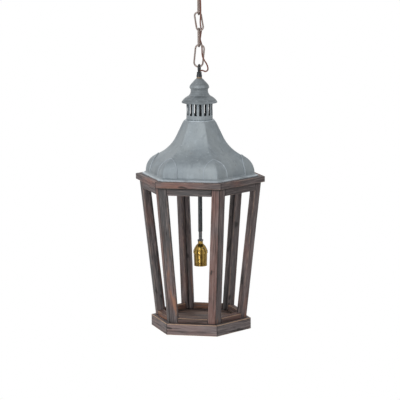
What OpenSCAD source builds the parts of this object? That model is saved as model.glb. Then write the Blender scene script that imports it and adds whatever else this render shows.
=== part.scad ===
// Pendant lantern: a six-sided wooden frame that tapers downwards, under a soldered sheet-zinc ogee roof
// with a slotted vent drum and a spun cupola, hung by four chain links from a ceiling canopy.
// A bare brass lamp socket hangs on a threaded pipe, and its cord is threaded up through the chain.
// Millimetres, +Z up. The origin is the middle of the ceiling face, so the lantern lies below it.
// Two flat sides of the lantern face -Y and +Y, and two of its corners lie on the X axis.

/* [Wooden frame] */
// How far the boards under the roof stand out past the roof's foot, at a corner
cap_ledge = 17; // [10:1:24]
// Thickness of those boards
cap_h = 16.5; // [10:0.5:24]
// Width of those boards, measured level from the outer edge
cap_w = 36; // [28:1:44]
// How far the top of the six side frames stands in from the edge of those boards, at a corner
frame_step = 11; // [8:1:16]
// Corner radius of the six side frames where they stand on the base
frame_foot_r = 133; // [110:1:138]
// Height of the side frames, from the base to the cap boards
frame_h = 393.5; // [300:0.5:480]
// Thickness of the stiles and rails
frame_t = 19; // [12:0.5:22]
// Width of a stile, measured level on the outside
stile_w = 23.5; // [18:0.5:30]
// Height of a top rail, measured along the slope
top_rail_h = 17; // [12:0.5:26]
// Height of a bottom rail, measured along the slope
bottom_rail_h = 15; // [12:0.5:26]
// How far the base stands out past the foot of the frame at a corner
base_ledge = 13; // [8:0.5:20]
// Height of the base boards
base_h = 32; // [24:0.5:44]
// Width of the base boards, measured level from the outer edge
base_w = 36; // [32:0.5:46]
// Width of the step inside the base boards that carries the floor
floor_step_w = 10; // [6:0.5:11]
// Thickness of the floor panel
floor_t = 9; // [6:0.5:14]
// How far the floor lies below the top of the base boards
floor_drop = 3; // [1:0.5:8]

/* [Roof] */
// Thickness of the zinc sheet
sheet_t = 1; // [0.7:0.1:1.4]
// Corner radius of the roof at the foot of its belly
roof_r = 157; // [148:1:162]
// Height of the roof, from the cap boards to its flat top
roof_h = 158; // [140:1:190]
// How far the flared foot stands out at a corner
flare_w = 14; // [8:0.5:18]
// Height at which the flare ends and the belly starts
flare_h = 9; // [6:0.5:14]
// Height of the upright lip along the foot
lip_h = 2.5; // [1.5:0.5:4]
// Radius of the outward curve of the belly, along a ridge
belly_r = 50; // [40:1:56]
// Angle through which the belly turns inwards
belly_turn = 60; // [50:1:66]
// Length of the straight slope between the belly and the sweep, along a ridge
slope_l = 24; // [10:1:34]
// Radius of the inward sweep, along a ridge
sweep_r = 108; // [85:1:125]
// Angle through which the sweep turns upwards
sweep_turn = 34; // [26:1:38]
// Thickness of the corner plates that are soldered over the ridges
gusset_t = 1.2; // [0.8:0.1:2]
// Width of one wing of a corner plate, at the foot of the belly
gusset_w = 40; // [28:1:48]
// Height of a corner plate, up to its point
gusset_h = 60; // [50:1:64]
// Height at which the pointed arch of a corner plate starts
gusset_spring_h = 27; // [15:1:34]

/* [Vent drum] */
// Outer radius of the drum
drum_r = 37.4; // [34:0.2:38]
// Number of slots
slot_count = 16; // [10:1:18]
// Width of a slot
slot_w = 7.3; // [4:0.1:8]
// Height of a slot
slot_h = 33; // [20:0.5:35]
// Height of the plain band under the slots
drum_band_h = 9.5; // [6:0.5:14]
// Height of the plain band above the slots
drum_crown_h = 3; // [2:0.5:6]

/* [Cupola] */
// Outer radius of the brim
brim_r = 50.7; // [46:0.1:56]
// Height of the upright edge of the brim
brim_edge_h = 2; // [1.5:0.5:4]
// Radius of the rounded shoulder above the brim
shoulder_r = 45; // [40:1:50]
// Length of the straight cone between the shoulder and the cove
cone_l = 3.3; // [1:0.1:6]
// Radius of the cove below the neck
cove_r = 18; // [15:1:21]
// Height of the neck
neck_h = 4.5; // [2:0.5:8]
// Radius of the bead above the neck
bead_r = 28.3; // [27.5:0.1:31]
// Height over which the neck flares out to the bead
bead_flare_h = 5.5; // [3:0.5:8]
// Radius of the rounded dome above the bead
dome_r = 18; // [14:1:20]
// Radius of the flat top that carries the washer
cupola_top_r = 8.8; // [8.6:0.1:11]

/* [Pipe and screw loops] */
// Outer radius of the threaded lamp pipe
pipe_r = 5.05; // [4.6:0.05:5.6]
// Inner radius of the lamp pipe
pipe_bore_r = 3.6; // [3:0.1:3.8]
// Length of the lamp pipe below the top of the cupola
pipe_drop = 474.5; // [420:0.5:520]
// Length of bare thread at the lower end of the pipe
thread_l = 22; // [14:1:40]
// Depth to which a pipe is screwed into what holds it
screw_depth = 8; // [6:0.5:10]
// Distance over the corners of a lock nut, halved
nut_r = 8.6; // [7.5:0.1:10]
// Height of a lock nut
nut_h = 5; // [3:0.5:7]
// Radius of the washer under the lantern's loop
washer_r = 7.9; // [7:0.1:8.5]
// Height of that washer
washer_h = 4.5; // [2:0.5:6]
// Height of the collar of a screw loop
collar_h = 14; // [11:0.5:18]
// Radius of the collar's foot
collar_r = 8.1; // [7.4:0.1:9.5]
// Radius of the collar next to the ring
collar_neck_r = 6.5; // [5.5:0.1:7]
// Radius of the wire of the ring
ring_wire_r = 2.75; // [2.2:0.05:3.2]
// Radius of the ring, to the middle of its wire
ring_r = 10.25; // [10:0.05:12]

/* [Chain] */
// Radius of the chain wire
wire_r = 2.4; // [1.8:0.1:2.6]
// Outer length of the three upper links
link_l = 56; // [52:0.5:70]
// Outer width of the three upper links
link_w = 24; // [23:0.5:28]
// Outer length of the lowest link
low_link_l = 68; // [60:0.5:80]
// Outer width of the lowest link
low_link_w = 30; // [27:0.5:33]
// Play between two links that hang in each other
link_play = 0.3; // [0.2:0.05:0.6]
// Lean of the second link, which hangs on one shoulder of its bend
second_lean = 9; // [0:0.5:12]
// Lean of the lowest link, the other way
low_lean = 6; // [0:0.5:10]

/* [Ceiling canopy] */
// Radius of the canopy
canopy_r = 60; // [55:1:80]
// Height of the canopy
canopy_h = 24; // [18:1:40]
// Radius of the flat bottom of the canopy
canopy_flat_r = 16; // [12:1:24]
// Length of the mounting strap inside the canopy
strap_l = 104; // [100:1:108]
// Width of the mounting strap
strap_w = 20; // [16:1:24]
// Thickness of the mounting strap
strap_t = 2; // [1.5:0.5:4]
// Distance between the two screw holes of the strap
box_hole_spacing = 89; // [80:1:92]
// Radius of those holes
box_hole_r = 2.4; // [2:0.1:3]

/* [Lamp socket] */
// Radius of the neck of the socket cap
socket_neck_r = 7.2; // [6.8:0.1:9]
// Height of that neck
socket_neck_h = 7; // [5:0.5:10]
// Largest radius of the socket cap
socket_cap_r = 20.6; // [19.6:0.1:22]
// Height of the socket cap, neck included
socket_cap_h = 29; // [26:0.5:34]
// Radius of the rim of the socket shell
socket_rim_r = 18.3; // [17.8:0.1:19]
// Height of the whole socket
socket_h = 71; // [66:0.5:80]
// Wall of the brass cap and shell
brass_t = 0.7; // [0.5:0.1:0.9]
// Inner radius of the screw shell that takes the lamp
lamp_bore_r = 13.2; // [13:0.05:13.5]
// Depth of the screw shell
lamp_bore_l = 24; // [18:0.5:28]

/* [Cord] */
// Diameter of the cord
cord_d = 4; // [3:0.1:4.2]

/* [Hidden] */
$fn = 64;
SIDES = 6;
HALF_SIDE = 180 / SIDES;
// How much a cutting solid runs past what it cuts
over = 1;
// Clearance of a bore round a screwed pipe
screw_gap = 0.1;
// Clearance between pieces that lie inside each other
slip = 0.3;

// Corner radii of the boards under the roof and of the top of the side frames, which keep to the roof's foot
cap_r = roof_r + flare_w + cap_ledge;
frame_top_r = cap_r - frame_step;
base_r = frame_foot_r + base_ledge;

// Heights from the ceiling down to the lantern's loop: each link hangs in the one above it
bore_of_loop_r = 2.7;
funnel_r = 5;
ring_rise = 9.4;
crossing = 2 * wire_r + link_play;
ring_crossing = wire_r + ring_wire_r + link_play;
bend_r = link_w / 2 - wire_r;
low_bend_r = low_link_w / 2 - wire_r;
canopy_ring_z = -canopy_h - collar_h - ring_rise;
pivot_1 = canopy_ring_z - ring_r;
first_top = pivot_1 + ring_crossing;
pivot_2 = first_top - (link_l - 2 * wire_r);
second_shift = (link_l - link_w) / 2 * sin(second_lean);
second_bend_top = pivot_2 - chord(bend_r - crossing, second_shift);
second_bend_foot = second_bend_top - (link_l - link_w) * cos(second_lean);
pivot_3 = second_bend_foot - chord(bend_r, second_shift);
third_top = second_bend_foot - chord(bend_r - crossing, second_shift);
pivot_4 = third_top - (link_l - 2 * wire_r);
low_shift = (low_link_l - low_link_w) / 2 * sin(low_lean);
low_bend_top = pivot_4 - chord(low_bend_r - crossing, low_shift);
low_bend_foot = low_bend_top - (low_link_l - low_link_w) * cos(low_lean);
pivot_5 = low_bend_foot - chord(low_bend_r, low_shift);
lantern_ring_z = low_bend_foot - chord(low_bend_r - ring_crossing, low_shift) - ring_r;
collar_foot_z = lantern_ring_z - ring_rise - collar_h;
cupola_top_z = collar_foot_z - washer_h;

// The cupola's outline angles: the lean of the sheet from level, going up
brim_angle = 65;
cone_angle = 35;
dome_foot_angle = 85;
dome_top_angle = 46.5;
arc_steps = 10;
cupola_h = last(cupola_line(0))[1];

// Heights from the cupola down to the underside of the base
brim_z = cupola_top_z - cupola_h;
plate_lift = 1;
drum_h = drum_band_h + slot_h + drum_crown_h;
roof_top_z = brim_z + plate_lift - drum_h;
cap_top_z = roof_top_z - roof_h;
frame_top_z = cap_top_z - cap_h;
base_top_z = frame_top_z - frame_h;
drum_seat_w = 3.4;

// The lean of the side frames and their measures along the slope
inset = cos(HALF_SIDE);
frame_lean = atan((frame_top_r - frame_foot_r) * inset / frame_h);
slope_len = frame_h / cos(frame_lean);

// The socket's parts, measured down from its top
socket_top_z = cupola_top_z - pipe_drop + socket_neck_h;
skirt_lap = 7;
rim_bead_r = 0.9;
liner_t = 0.8;
liner_r = socket_rim_r - brass_t - slip - rim_bead_r;
block_top = 23;
block_h = 13;
block_r = liner_r - liner_t - slip;
screw_shell_t = 0.5;
contact_r = 4;
contact_h = 2.2;
contact_recess_r = 9;
contact_recess_h = 2.5;

// The cord's route, down from the mounting strap, through the chain and into the lantern's loop
cord_sides = 8;
cord_steps = 2;
CORD_ROUTE = [
    [0, 0, -1], [0, 0, -16], [0, 0, -32], [0.5, -0.9, -38], [2, -3.5, -41], [4, -7, -47],
    [5.8, -8.4, -56], [6.5, -7.5, -68], [6.6, -6, -84], [6.4, -5.4, -98], [5.8, -5.3, -110],
    [5, -5, -120], [4.6, -3, -129], [5, 0.5, -137], [5.4, 4, -145], [5.3, 5.2, -152],
    [4.2, 2.5, -163], [3.2, 0.5, -173], [5, 2.4, -181.5], [6, 5.2, -188], [7.2, 4.9, -196],
    [8.3, 1, -206], [9.6, -3.6, -216], [12, -5.2, -224], [16, -4.8, -232.5], [20.6, -3.4, -240],
    [24, -1.6, -248], [25.2, -0.4, -256], [24.1, 0, -260.1], [21.2, 0, -263], [17.2, 0, -264.1],
    [12.6, 0, -262.6], [10, 0, -261.5], [8, 0, -261.2], [5, 0, -261.8], [2.3, 0, -263.5],
    [0.6, 0, -266.1], [0, 0, -271]
];

SIDE_NUMBERS = [1:SIDES];

// Helpers

function last(list) = list[len(list) - 1];
function chord(radius, shift) = sqrt(radius * radius - shift * shift);
function reversed(list) = [for (i = [len(list) - 1:-1:0]) list[i]];
function heading(angle) = [-cos(angle), sin(angle)];
function outward(angle) = [sin(angle), cos(angle)];

// Points of an arc whose sheet leans from angle a to angle b, bulging outwards from its centre
function bulging(centre, radius, a, b) =
    [for (i = [0:arc_steps]) centre + radius * outward(a + (b - a) * i / arc_steps)];

// The same for an arc that is hollow, with its centre outside the sheet
function hollow(centre, radius, a, b) =
    [for (i = [0:arc_steps]) centre - radius * outward(a + (b - a) * i / arc_steps)];

// Turns a piece that is built on the front side to side n, counted from the front towards +X
module on_side(n) rotate(360 / SIDES * (n - 1)) children();

// The sixth of the plan that belongs to the front side
module front_sixth(z, height) {
    reach = 2 * cap_r;
    translate([0, 0, z])
        linear_extrude(height)
            polygon([[0, 0], reach * [-sin(HALF_SIDE), -cos(HALF_SIDE)], reach * [sin(HALF_SIDE), -cos(HALF_SIDE)]]);
}

// A level board along the front side, mitred at both ends
module mitred_board(outer, inner, height) {
    half = tan(HALF_SIDE);
    linear_extrude(height)
        polygon([[-outer * half, -outer], [outer * half, -outer], [inner * half, -inner], [-inner * half, -inner]]);
}

// Side frames: stiles that meet at the corners, with the rails between them

function half_width(along) = (frame_foot_r + (frame_top_r - frame_foot_r) * along / slope_len) / 2;

// A slab of the front side's sloping wall: outline is in the wall's plane, x level and y up the slope
module in_front_wall(outline) {
    intersection() {
        translate([0, -frame_foot_r * inset, base_top_z])
            rotate([90 + frame_lean, 0, 0])
                translate([0, 0, -frame_t])
                    linear_extrude(frame_t)
                        polygon(outline);
        front_sixth(base_top_z, frame_h);
    }
}

// The outline of a strip beside the corner line, from near to far measured level from that line
function strip(near, far, low, high) = [
    [half_width(low) - far, low],
    [half_width(low) - near, low],
    [half_width(high) - near, high],
    [half_width(high) - far, high]
];

module stile(side) {
    spare = 2 * frame_t;
    outline = strip(-spare, stile_w, -spare, slope_len + spare);
    color("#6f6260")
        in_front_wall([for (p = outline) [side * p[0], p[1]]]);
}

module rail(low, high) {
    color("#66595a")
        in_front_wall([
            [-half_width(low) + stile_w, low],
            [half_width(low) - stile_w, low],
            [half_width(high) - stile_w, high],
            [-half_width(high) + stile_w, high]
        ]);
}

module top_rail() rail(slope_len - top_rail_h, slope_len + frame_t);

module bottom_rail() rail(-frame_t, bottom_rail_h);

module cap_board() {
    outer = cap_r * inset;
    color("#5f5450")
        translate([0, 0, frame_top_z])
            mitred_board(outer, outer - cap_w, cap_h);
}

module base_board() {
    outer = base_r * inset;
    step = outer - base_w + floor_step_w;
    step_depth = floor_t + floor_drop;
    color("#968a86")
        translate([0, 0, base_top_z - base_h])
            difference() {
                mitred_board(outer, outer - base_w, base_h);
                translate([0, 0, base_h - step_depth])
                    mitred_board(step, outer - base_w - over, step_depth + over);
            }
}

module floor_panel() {
    across = (base_r * inset - base_w + floor_step_w - slip) / inset;
    color("#7a5c48")
        translate([0, 0, base_top_z - floor_drop - floor_t])
            cylinder(r = across, h = floor_t, $fn = SIDES);
}

// Roof: the outline runs up a ridge, from the foot of the belly to the flat top

function belly_centre() = [roof_r - belly_r, flare_h];
function slope_angle() = 90 - belly_turn;
function slope_foot() = belly_centre() + belly_r * outward(slope_angle());
function slope_top() = slope_foot() + slope_l * heading(slope_angle());
function sweep_centre() = slope_top() + sweep_r * outward(slope_angle());
function sweep_end(d) = sweep_centre() - (sweep_r + d) * outward(slope_angle() + sweep_turn);
function neck_at(d, height) = sweep_end(d)[0] - (height - sweep_end(d)[1]) / tan(slope_angle() + sweep_turn);

// The ridge line, moved inwards by d, up to the given height
function ridge_line(d, height) = concat(
    bulging(belly_centre(), belly_r - d, 90, slope_angle()),
    hollow(sweep_centre(), sweep_r + d, slope_angle(), slope_angle() + sweep_turn),
    [[neck_at(d, height), height]]
);

// The flared foot below the ridge line
function flare_line() = [[roof_r + flare_w, 0], [roof_r + flare_w, lip_h]];
function flare_hollow() = [
    [roof_r + flare_w - 2 * sheet_t, -over],
    [roof_r + flare_w - 2 * sheet_t, lip_h - sheet_t],
    [roof_r - sheet_t, flare_h - sheet_t]
];

// A six-sided solid whose ridges follow the line, as the common part of three long prisms
module six_sided(line) {
    face = [for (p = line) [p[0] * inset, p[1]]];
    other_face = [for (p = reversed(face)) [-p[0], p[1]]];
    intersection_for (turn = [HALF_SIDE, 3 * HALF_SIDE, 5 * HALF_SIDE])
        rotate(turn)
            rotate([90, 0, 0])
                linear_extrude(3 * cap_r, center = true)
                    polygon(concat(face, other_face));
}

// Half of the plain stretch of a side between two corner plates, seen square on
function arch_line() = let (
    foot = roof_r / 2 - gusset_w,
    ridge = lookup(gusset_h, [for (p = ridge_line(-gusset_t, roof_h)) [p[1], p[0] / 2]]),
    rise = gusset_h - gusset_spring_h,
    run = ridge - foot,
    radius = (run * run + rise * rise) / (2 * run),
    point_angle = asin(rise / radius)
) concat(
    [[foot, -over]],
    [for (i = [0:arc_steps])
        [foot + radius, gusset_spring_h] + radius * [-cos(point_angle * i / arc_steps), sin(point_angle * i / arc_steps)]],
    [[ridge, roof_h]]
);

// Corner plates with pointed-arch outlines, which follow the belly over each ridge
module corner_plates() {
    belly = [for (p = ridge_line(-gusset_t, roof_h)) if (p[1] < gusset_h) p];
    tip = lookup(gusset_h, [for (p = ridge_line(-gusset_t, roof_h)) [p[1], p[0]]]);
    plain = arch_line();
    mirrored = [for (p = reversed(plain)) [-p[0], p[1]]];
    difference() {
        six_sided(concat([[roof_r + gusset_t, 0]], belly, [[tip, gusset_h]]));
        for (turn = [0, 2 * HALF_SIDE, 4 * HALF_SIDE])
            rotate(turn)
                rotate([90, 0, 0])
                    linear_extrude(3 * cap_r, center = true)
                        polygon(concat(plain, mirrored));
    }
}

module roof() {
    color("#8b9499")
        translate([0, 0, cap_top_z])
            difference() {
                union() {
                    six_sided(concat(flare_line(), ridge_line(0, roof_h)));
                    corner_plates();
                }
                six_sided(concat(flare_hollow(), ridge_line(sheet_t, roof_h - sheet_t)));
                cylinder(r = drum_r - drum_seat_w, h = roof_h + over);
            }
}

module vent_drum() {
    color("#7d868a")
        translate([0, 0, roof_top_z])
            difference() {
                cylinder(r = drum_r, h = drum_h);
                translate([0, 0, -over])
                    cylinder(r = drum_r - sheet_t, h = drum_h + 2 * over);
                for (i = [0:slot_count - 1])
                    rotate(360 / slot_count * (i + 0.5))
                        translate([0, -slot_w / 2, drum_band_h])
                            cube([drum_r + over, slot_w, slot_h]);
            }
}

// Cupola: the outline, moved inwards by d, from the brim up to the flat top
function cupola_line(d) = let (
    brim = [brim_r, brim_edge_h],
    shoulder = brim - shoulder_r * outward(brim_angle),
    cone_top = shoulder + shoulder_r * outward(cone_angle) + cone_l * heading(cone_angle),
    cove = cone_top + cove_r * outward(cone_angle),
    neck = cove - [cove_r, 0],
    bead = [bead_r, neck[1] + neck_h + bead_flare_h],
    dome = bead - dome_r * outward(dome_foot_angle),
    dome_top = dome + dome_r * outward(dome_top_angle),
    rise = (dome_top[0] - cupola_top_r) * tan(dome_top_angle)
) concat(
    [[brim_r - d, 0]],
    bulging(shoulder, shoulder_r - d, brim_angle, cone_angle),
    hollow(cove, cove_r + d, cone_angle, 90),
    [neck + [-d, neck_h]],
    bulging(dome, dome_r - d, dome_foot_angle, dome_top_angle),
    [[cupola_top_r - d / 2, dome_top[1] + rise - d]]
);

module cupola() {
    outside = cupola_line(0);
    inside = cupola_line(sheet_t);
    plate_inner_r = drum_r - drum_seat_w;
    color("#848d92")
        translate([0, 0, brim_z]) {
            rotate_extrude()
                difference() {
                    polygon(concat([[pipe_r + screw_gap, 0]], outside, [[pipe_r + screw_gap, cupola_h]]));
                    polygon(concat([[0, -over], [brim_r - sheet_t, -over]], inside, [[0, cupola_h - sheet_t]]));
                }
            translate([0, 0, plate_lift])
                difference() {
                    cylinder(r = brim_r - sheet_t, h = sheet_t);
                    translate([0, 0, -over])
                        cylinder(r = plate_inner_r, h = sheet_t + 2 * over);
                }
        }
}

module top_washer() {
    color("#a4855f")
        translate([0, 0, cupola_top_z])
            difference() {
                cylinder(r = washer_r, h = washer_h);
                translate([0, 0, -over])
                    cylinder(r = pipe_r + screw_gap, h = washer_h + 2 * over);
            }
}

// A screw loop: a bell-shaped collar with a screwed bore, and a ring that the cord leaves through a funnel
module screw_loop() {
    funnel_low = collar_h - 5;
    funnel_high = collar_h + 3.5;
    foot_h = 3;
    difference() {
        union() {
            cylinder(r = collar_r, h = foot_h);
            translate([0, 0, foot_h])
                cylinder(r1 = collar_r - slip, r2 = collar_neck_r, h = collar_h - foot_h);
            translate([0, 0, collar_h + ring_rise])
                rotate([0, 90, 0])
                    rotate_extrude()
                        translate([ring_r, 0])
                            circle(ring_wire_r);
        }
        translate([0, 0, -over])
            cylinder(r = pipe_r + screw_gap, h = screw_depth + over);
        cylinder(r = bore_of_loop_r, h = collar_h);
        translate([0, 0, funnel_low])
            cylinder(r1 = bore_of_loop_r, r2 = funnel_r, h = funnel_high - funnel_low);
    }
}

module lantern_loop() {
    color("#3c4346")
        translate([0, 0, collar_foot_z])
            screw_loop();
}

module canopy_loop() {
    color("#3c4346")
        translate([0, 0, -canopy_h])
            rotate([180, 0, 90])
                screw_loop();
}

// Chain: an oval link in the XZ plane, round its own middle
module oval_link(length, width) {
    bend = width / 2 - wire_r;
    straight = length - width;
    for (end = [-1, 1])
        translate([0, 0, end * straight / 2])
            rotate([90, 0, 0])
                rotate(end > 0 ? 0 : 180)
                    rotate_extrude(angle = 180)
                        translate([bend, 0])
                            circle(wire_r);
    for (side = [-1, 1])
        translate([side * bend, 0, -straight / 2])
            cylinder(r = wire_r, h = straight);
}

module first_link() {
    color("#857a74")
        translate([0, 0, (first_top + pivot_2) / 2])
            rotate(90)
                oval_link(link_l, link_w);
}

module second_link() {
    color("#8a7f78")
        translate([0, 0, (second_bend_top + second_bend_foot) / 2])
            rotate([0, -second_lean, 0])
                oval_link(link_l, link_w);
}

module third_link() {
    color("#857a74")
        translate([0, 0, (third_top + pivot_4) / 2])
            rotate(90)
                oval_link(link_l, link_w);
}

module lowest_link() {
    color("#8a7f78")
        translate([0, 0, (low_bend_top + low_bend_foot) / 2])
            rotate([0, low_lean, 0])
                oval_link(low_link_l, low_link_w);
}

// Ceiling fitting: a strap on the ceiling box, and a hollow nipple that holds the canopy and its loop
module mounting_strap() {
    color("#b0b0ae")
        translate([0, 0, -strap_t])
            difference() {
                translate([-strap_l / 2, -strap_w / 2, 0])
                    cube([strap_l, strap_w, strap_t]);
                translate([0, 0, -over])
                    cylinder(r = pipe_r + screw_gap, h = strap_t + 2 * over);
                for (side = [-1, 1])
                    translate([side * box_hole_spacing / 2, 0, -over])
                        cylinder(r = box_hole_r, h = strap_t + 2 * over);
            }
}

module tube(radius, bore, length) {
    difference() {
        cylinder(r = radius, h = length);
        translate([0, 0, -over])
            cylinder(r = bore, h = length + 2 * over);
    }
}

module hollow_nipple() {
    foot = -canopy_h - screw_depth + slip;
    color("#9a9a98")
        translate([0, 0, foot])
            tube(pipe_r, pipe_bore_r, -foot - slip);
}

module lock_nut() {
    difference() {
        cylinder(r = nut_r, h = nut_h, $fn = SIDES);
        translate([0, 0, -over])
            cylinder(r = pipe_r + screw_gap, h = nut_h + 2 * over);
    }
}

module strap_nut() {
    color("#9a9a98")
        translate([0, 0, -strap_t - nut_h])
            lock_nut();
}

// The canopy's outline as a quarter of an ellipse over an upright rim, moved inwards by d
function canopy_line(d) = let (rim_h = 2) concat(
    [[canopy_r - d, 0]],
    [for (i = [0:arc_steps])
        [canopy_flat_r + (canopy_r - canopy_flat_r - d) * cos(90 * i / arc_steps),
            -rim_h - (canopy_h - rim_h - d) * sin(90 * i / arc_steps)]]
);

module canopy() {
    color("#4a4f52")
        rotate_extrude()
            difference() {
                polygon(concat([[pipe_r + screw_gap, 0]], canopy_line(0), [[pipe_r + screw_gap, -canopy_h]]));
                polygon(concat([[0, over], [canopy_r - sheet_t, over]], canopy_line(sheet_t),
                    [[0, -canopy_h + sheet_t]]));
            }
}

// Lamp pipe, screwed into the lantern's loop, with a nut under the cupola and one above the socket
module lamp_pipe() {
    top = collar_foot_z + screw_depth - slip;
    foot = cupola_top_z - pipe_drop;
    thread_r = pipe_r - slip;
    color("#2a2a2c")
        difference() {
            union() {
                translate([0, 0, foot])
                    cylinder(r = thread_r, h = thread_l + nut_h + screw_depth);
                translate([0, 0, foot + thread_l + nut_h + screw_depth])
                    cylinder(r = pipe_r, h = top - foot - thread_l - nut_h - screw_depth);
            }
            translate([0, 0, foot - over])
                cylinder(r = pipe_bore_r, h = top - foot + 2 * over);
        }
}

module pipe_nuts() {
    color("#8f8f8c")
        for (z = [cupola_top_z - sheet_t - nut_h, socket_top_z])
            translate([0, 0, z])
                lock_nut();
}

// Socket: a brass cap and shell round an insulating sleeve, with the screw shell under its contact block
module socket_cap() {
    inner_neck_r = pipe_r + screw_gap;
    curve_r = socket_cap_r - socket_neck_r;
    color("#b8923f")
        translate([0, 0, socket_top_z])
            difference() {
                rotate_extrude()
                    polygon(concat(
                        [[inner_neck_r, 0], [socket_neck_r, 0], [socket_neck_r, -socket_neck_h]],
                        [for (i = [1:arc_steps])
                            [socket_neck_r, -socket_neck_h - curve_r]
                                + curve_r * [sin(90 * i / arc_steps), cos(90 * i / arc_steps)]],
                        [[socket_cap_r, -socket_cap_h], [inner_neck_r, -socket_cap_h]]
                    ));
                translate([0, 0, -socket_neck_h])
                    rotate_extrude()
                        polygon(concat(
                            [[0, -brass_t]],
                            [for (i = [0:arc_steps])
                                [socket_neck_r, -curve_r]
                                    + (curve_r - brass_t) * [sin(90 * i / arc_steps), cos(90 * i / arc_steps)]],
                            [[socket_cap_r - brass_t, -socket_cap_h], [0, -socket_cap_h]]
                        ));
            }
}

module socket_shell() {
    top = -socket_cap_h + skirt_lap;
    top_r = socket_cap_r - brass_t - slip;
    color("#c29c48")
        translate([0, 0, socket_top_z])
            rotate_extrude() {
                polygon([
                    [top_r - brass_t, top], [top_r, top], [top_r, -socket_cap_h],
                    [socket_rim_r, -socket_h + rim_bead_r], [socket_rim_r - brass_t, -socket_h + rim_bead_r],
                    [top_r - brass_t, -socket_cap_h]
                ]);
                translate([socket_rim_r - rim_bead_r + slip, -socket_h + rim_bead_r])
                    circle(rim_bead_r);
            }
}

module socket_liner() {
    foot = -socket_h + 2 * rim_bead_r + slip;
    color("#5c4a3c")
        translate([0, 0, socket_top_z + foot])
            tube(liner_r, liner_r - liner_t, -foot - block_top);
}

// The centre contact stands in a recess, so that the screw shell below stays clear
module contact_block() {
    recess_z = -block_h + contact_recess_h;
    color("#26221f")
        translate([0, 0, socket_top_z - block_top])
            difference() {
                translate([0, 0, -block_h])
                    cylinder(r = block_r, h = block_h);
                difference() {
                    translate([0, 0, -block_h - over])
                        cylinder(r = contact_recess_r, h = contact_recess_h + over);
                    translate([0, 0, recess_z - contact_h])
                        cylinder(r = contact_r, h = contact_h + over);
                }
            }
}

module screw_shell() {
    color("#c8a860")
        translate([0, 0, socket_top_z - block_top - block_h - lamp_bore_l])
            tube(lamp_bore_r + screw_shell_t, lamp_bore_r, lamp_bore_l);
}

// Cord: a tube along a smooth curve through the points of its route

function route_point(i) = CORD_ROUTE[max(0, min(len(CORD_ROUTE) - 1, i))];
function smooth(a, b, c, d, t) =
    ((2 * b) + (c - a) * t + (2 * a - 5 * b + 4 * c - d) * t * t + (3 * b - a - 3 * c + d) * t * t * t) / 2;
function cord_line() = concat(
    [for (i = [0:len(CORD_ROUTE) - 2], s = [0:cord_steps - 1])
        smooth(route_point(i - 1), route_point(i), route_point(i + 1), route_point(i + 2), s / cord_steps)],
    [last(CORD_ROUTE)]
);
function unit(v) = v / norm(v);

module cord() {
    line = cord_line();
    count = len(line);
    along = [for (i = [0:count - 1]) unit(line[min(i + 1, count - 1)] - line[max(i - 1, 0)])];
    across = [for (t = along) unit(cross([0, 1, 0], t))];
    rings = [for (i = [0:count - 1], s = [0:cord_sides - 1])
        line[i] + cord_d / 2 * (cos(360 * s / cord_sides) * across[i]
            + sin(360 * s / cord_sides) * cross(along[i], across[i]))];
    walls = [for (i = [0:count - 2], s = [0:cord_sides - 1])
        let (next = (s + 1) % cord_sides, a = i * cord_sides, b = a + cord_sides)
            [a + s, b + s, b + next, a + next]];
    ends = [[for (s = [0:cord_sides - 1]) s], [for (s = [cord_sides - 1:-1:0]) (count - 1) * cord_sides + s]];
    color("#6b4036")
        polyhedron(rings, concat(walls, ends));
}

module cord_in_pipe() {
    top = last(CORD_ROUTE)[2] - slip;
    foot = socket_top_z - block_top;
    color("#6b4036")
        translate([0, 0, foot])
            cylinder(d = cord_d, h = top - foot);
}

mounting_strap();
hollow_nipple();
strap_nut();
canopy();
canopy_loop();
first_link();
second_link();
third_link();
lowest_link();
lantern_loop();
cord();
cord_in_pipe();
top_washer();
cupola();
vent_drum();
roof();
lamp_pipe();
pipe_nuts();
socket_cap();
socket_shell();
socket_liner();
screw_shell();
contact_block();
for (n = SIDE_NUMBERS) {
    on_side(n) cap_board();
    on_side(n) top_rail();
    on_side(n) stile(-1);
    on_side(n) stile(1);
    on_side(n) bottom_rail();
    on_side(n) base_board();
}
floor_panel();
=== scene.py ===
# %% [markdown]
# # A pendant lantern
# A six-sided wooden lantern hangs under a zinc roof, on four chain links with a cord threaded through them. The CAD
# model already says where each piece is and how the pieces move. This script dresses it: a plain solid is swapped for
# a piece with the edges, seams and finish of the real one, and each new piece is tied to the body it moves with.
# Everything starts from that frame, so it is loaded first.

# %% Load the frame
from math import atan2, cos, degrees, pi, radians, sin, sqrt, tan

import bmesh
import bpy
from mathutils import Matrix, Vector, noise
from mathutils.bvhtree import BVHTree


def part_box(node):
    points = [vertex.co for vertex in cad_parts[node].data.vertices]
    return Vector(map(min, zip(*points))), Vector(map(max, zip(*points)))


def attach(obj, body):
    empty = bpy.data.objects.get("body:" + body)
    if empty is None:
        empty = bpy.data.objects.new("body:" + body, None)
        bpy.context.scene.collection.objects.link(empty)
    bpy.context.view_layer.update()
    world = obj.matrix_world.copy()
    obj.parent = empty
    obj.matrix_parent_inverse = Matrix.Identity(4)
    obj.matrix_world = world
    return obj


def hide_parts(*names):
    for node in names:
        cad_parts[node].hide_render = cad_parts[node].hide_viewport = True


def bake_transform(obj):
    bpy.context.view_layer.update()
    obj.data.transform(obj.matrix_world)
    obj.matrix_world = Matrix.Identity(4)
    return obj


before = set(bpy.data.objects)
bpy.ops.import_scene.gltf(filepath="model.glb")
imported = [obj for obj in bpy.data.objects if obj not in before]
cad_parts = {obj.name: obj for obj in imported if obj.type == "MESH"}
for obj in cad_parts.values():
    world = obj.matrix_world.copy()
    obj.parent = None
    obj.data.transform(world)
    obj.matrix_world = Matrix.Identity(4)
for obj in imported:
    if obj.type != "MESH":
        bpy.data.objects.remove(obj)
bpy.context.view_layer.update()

MM = 0.001

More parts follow.
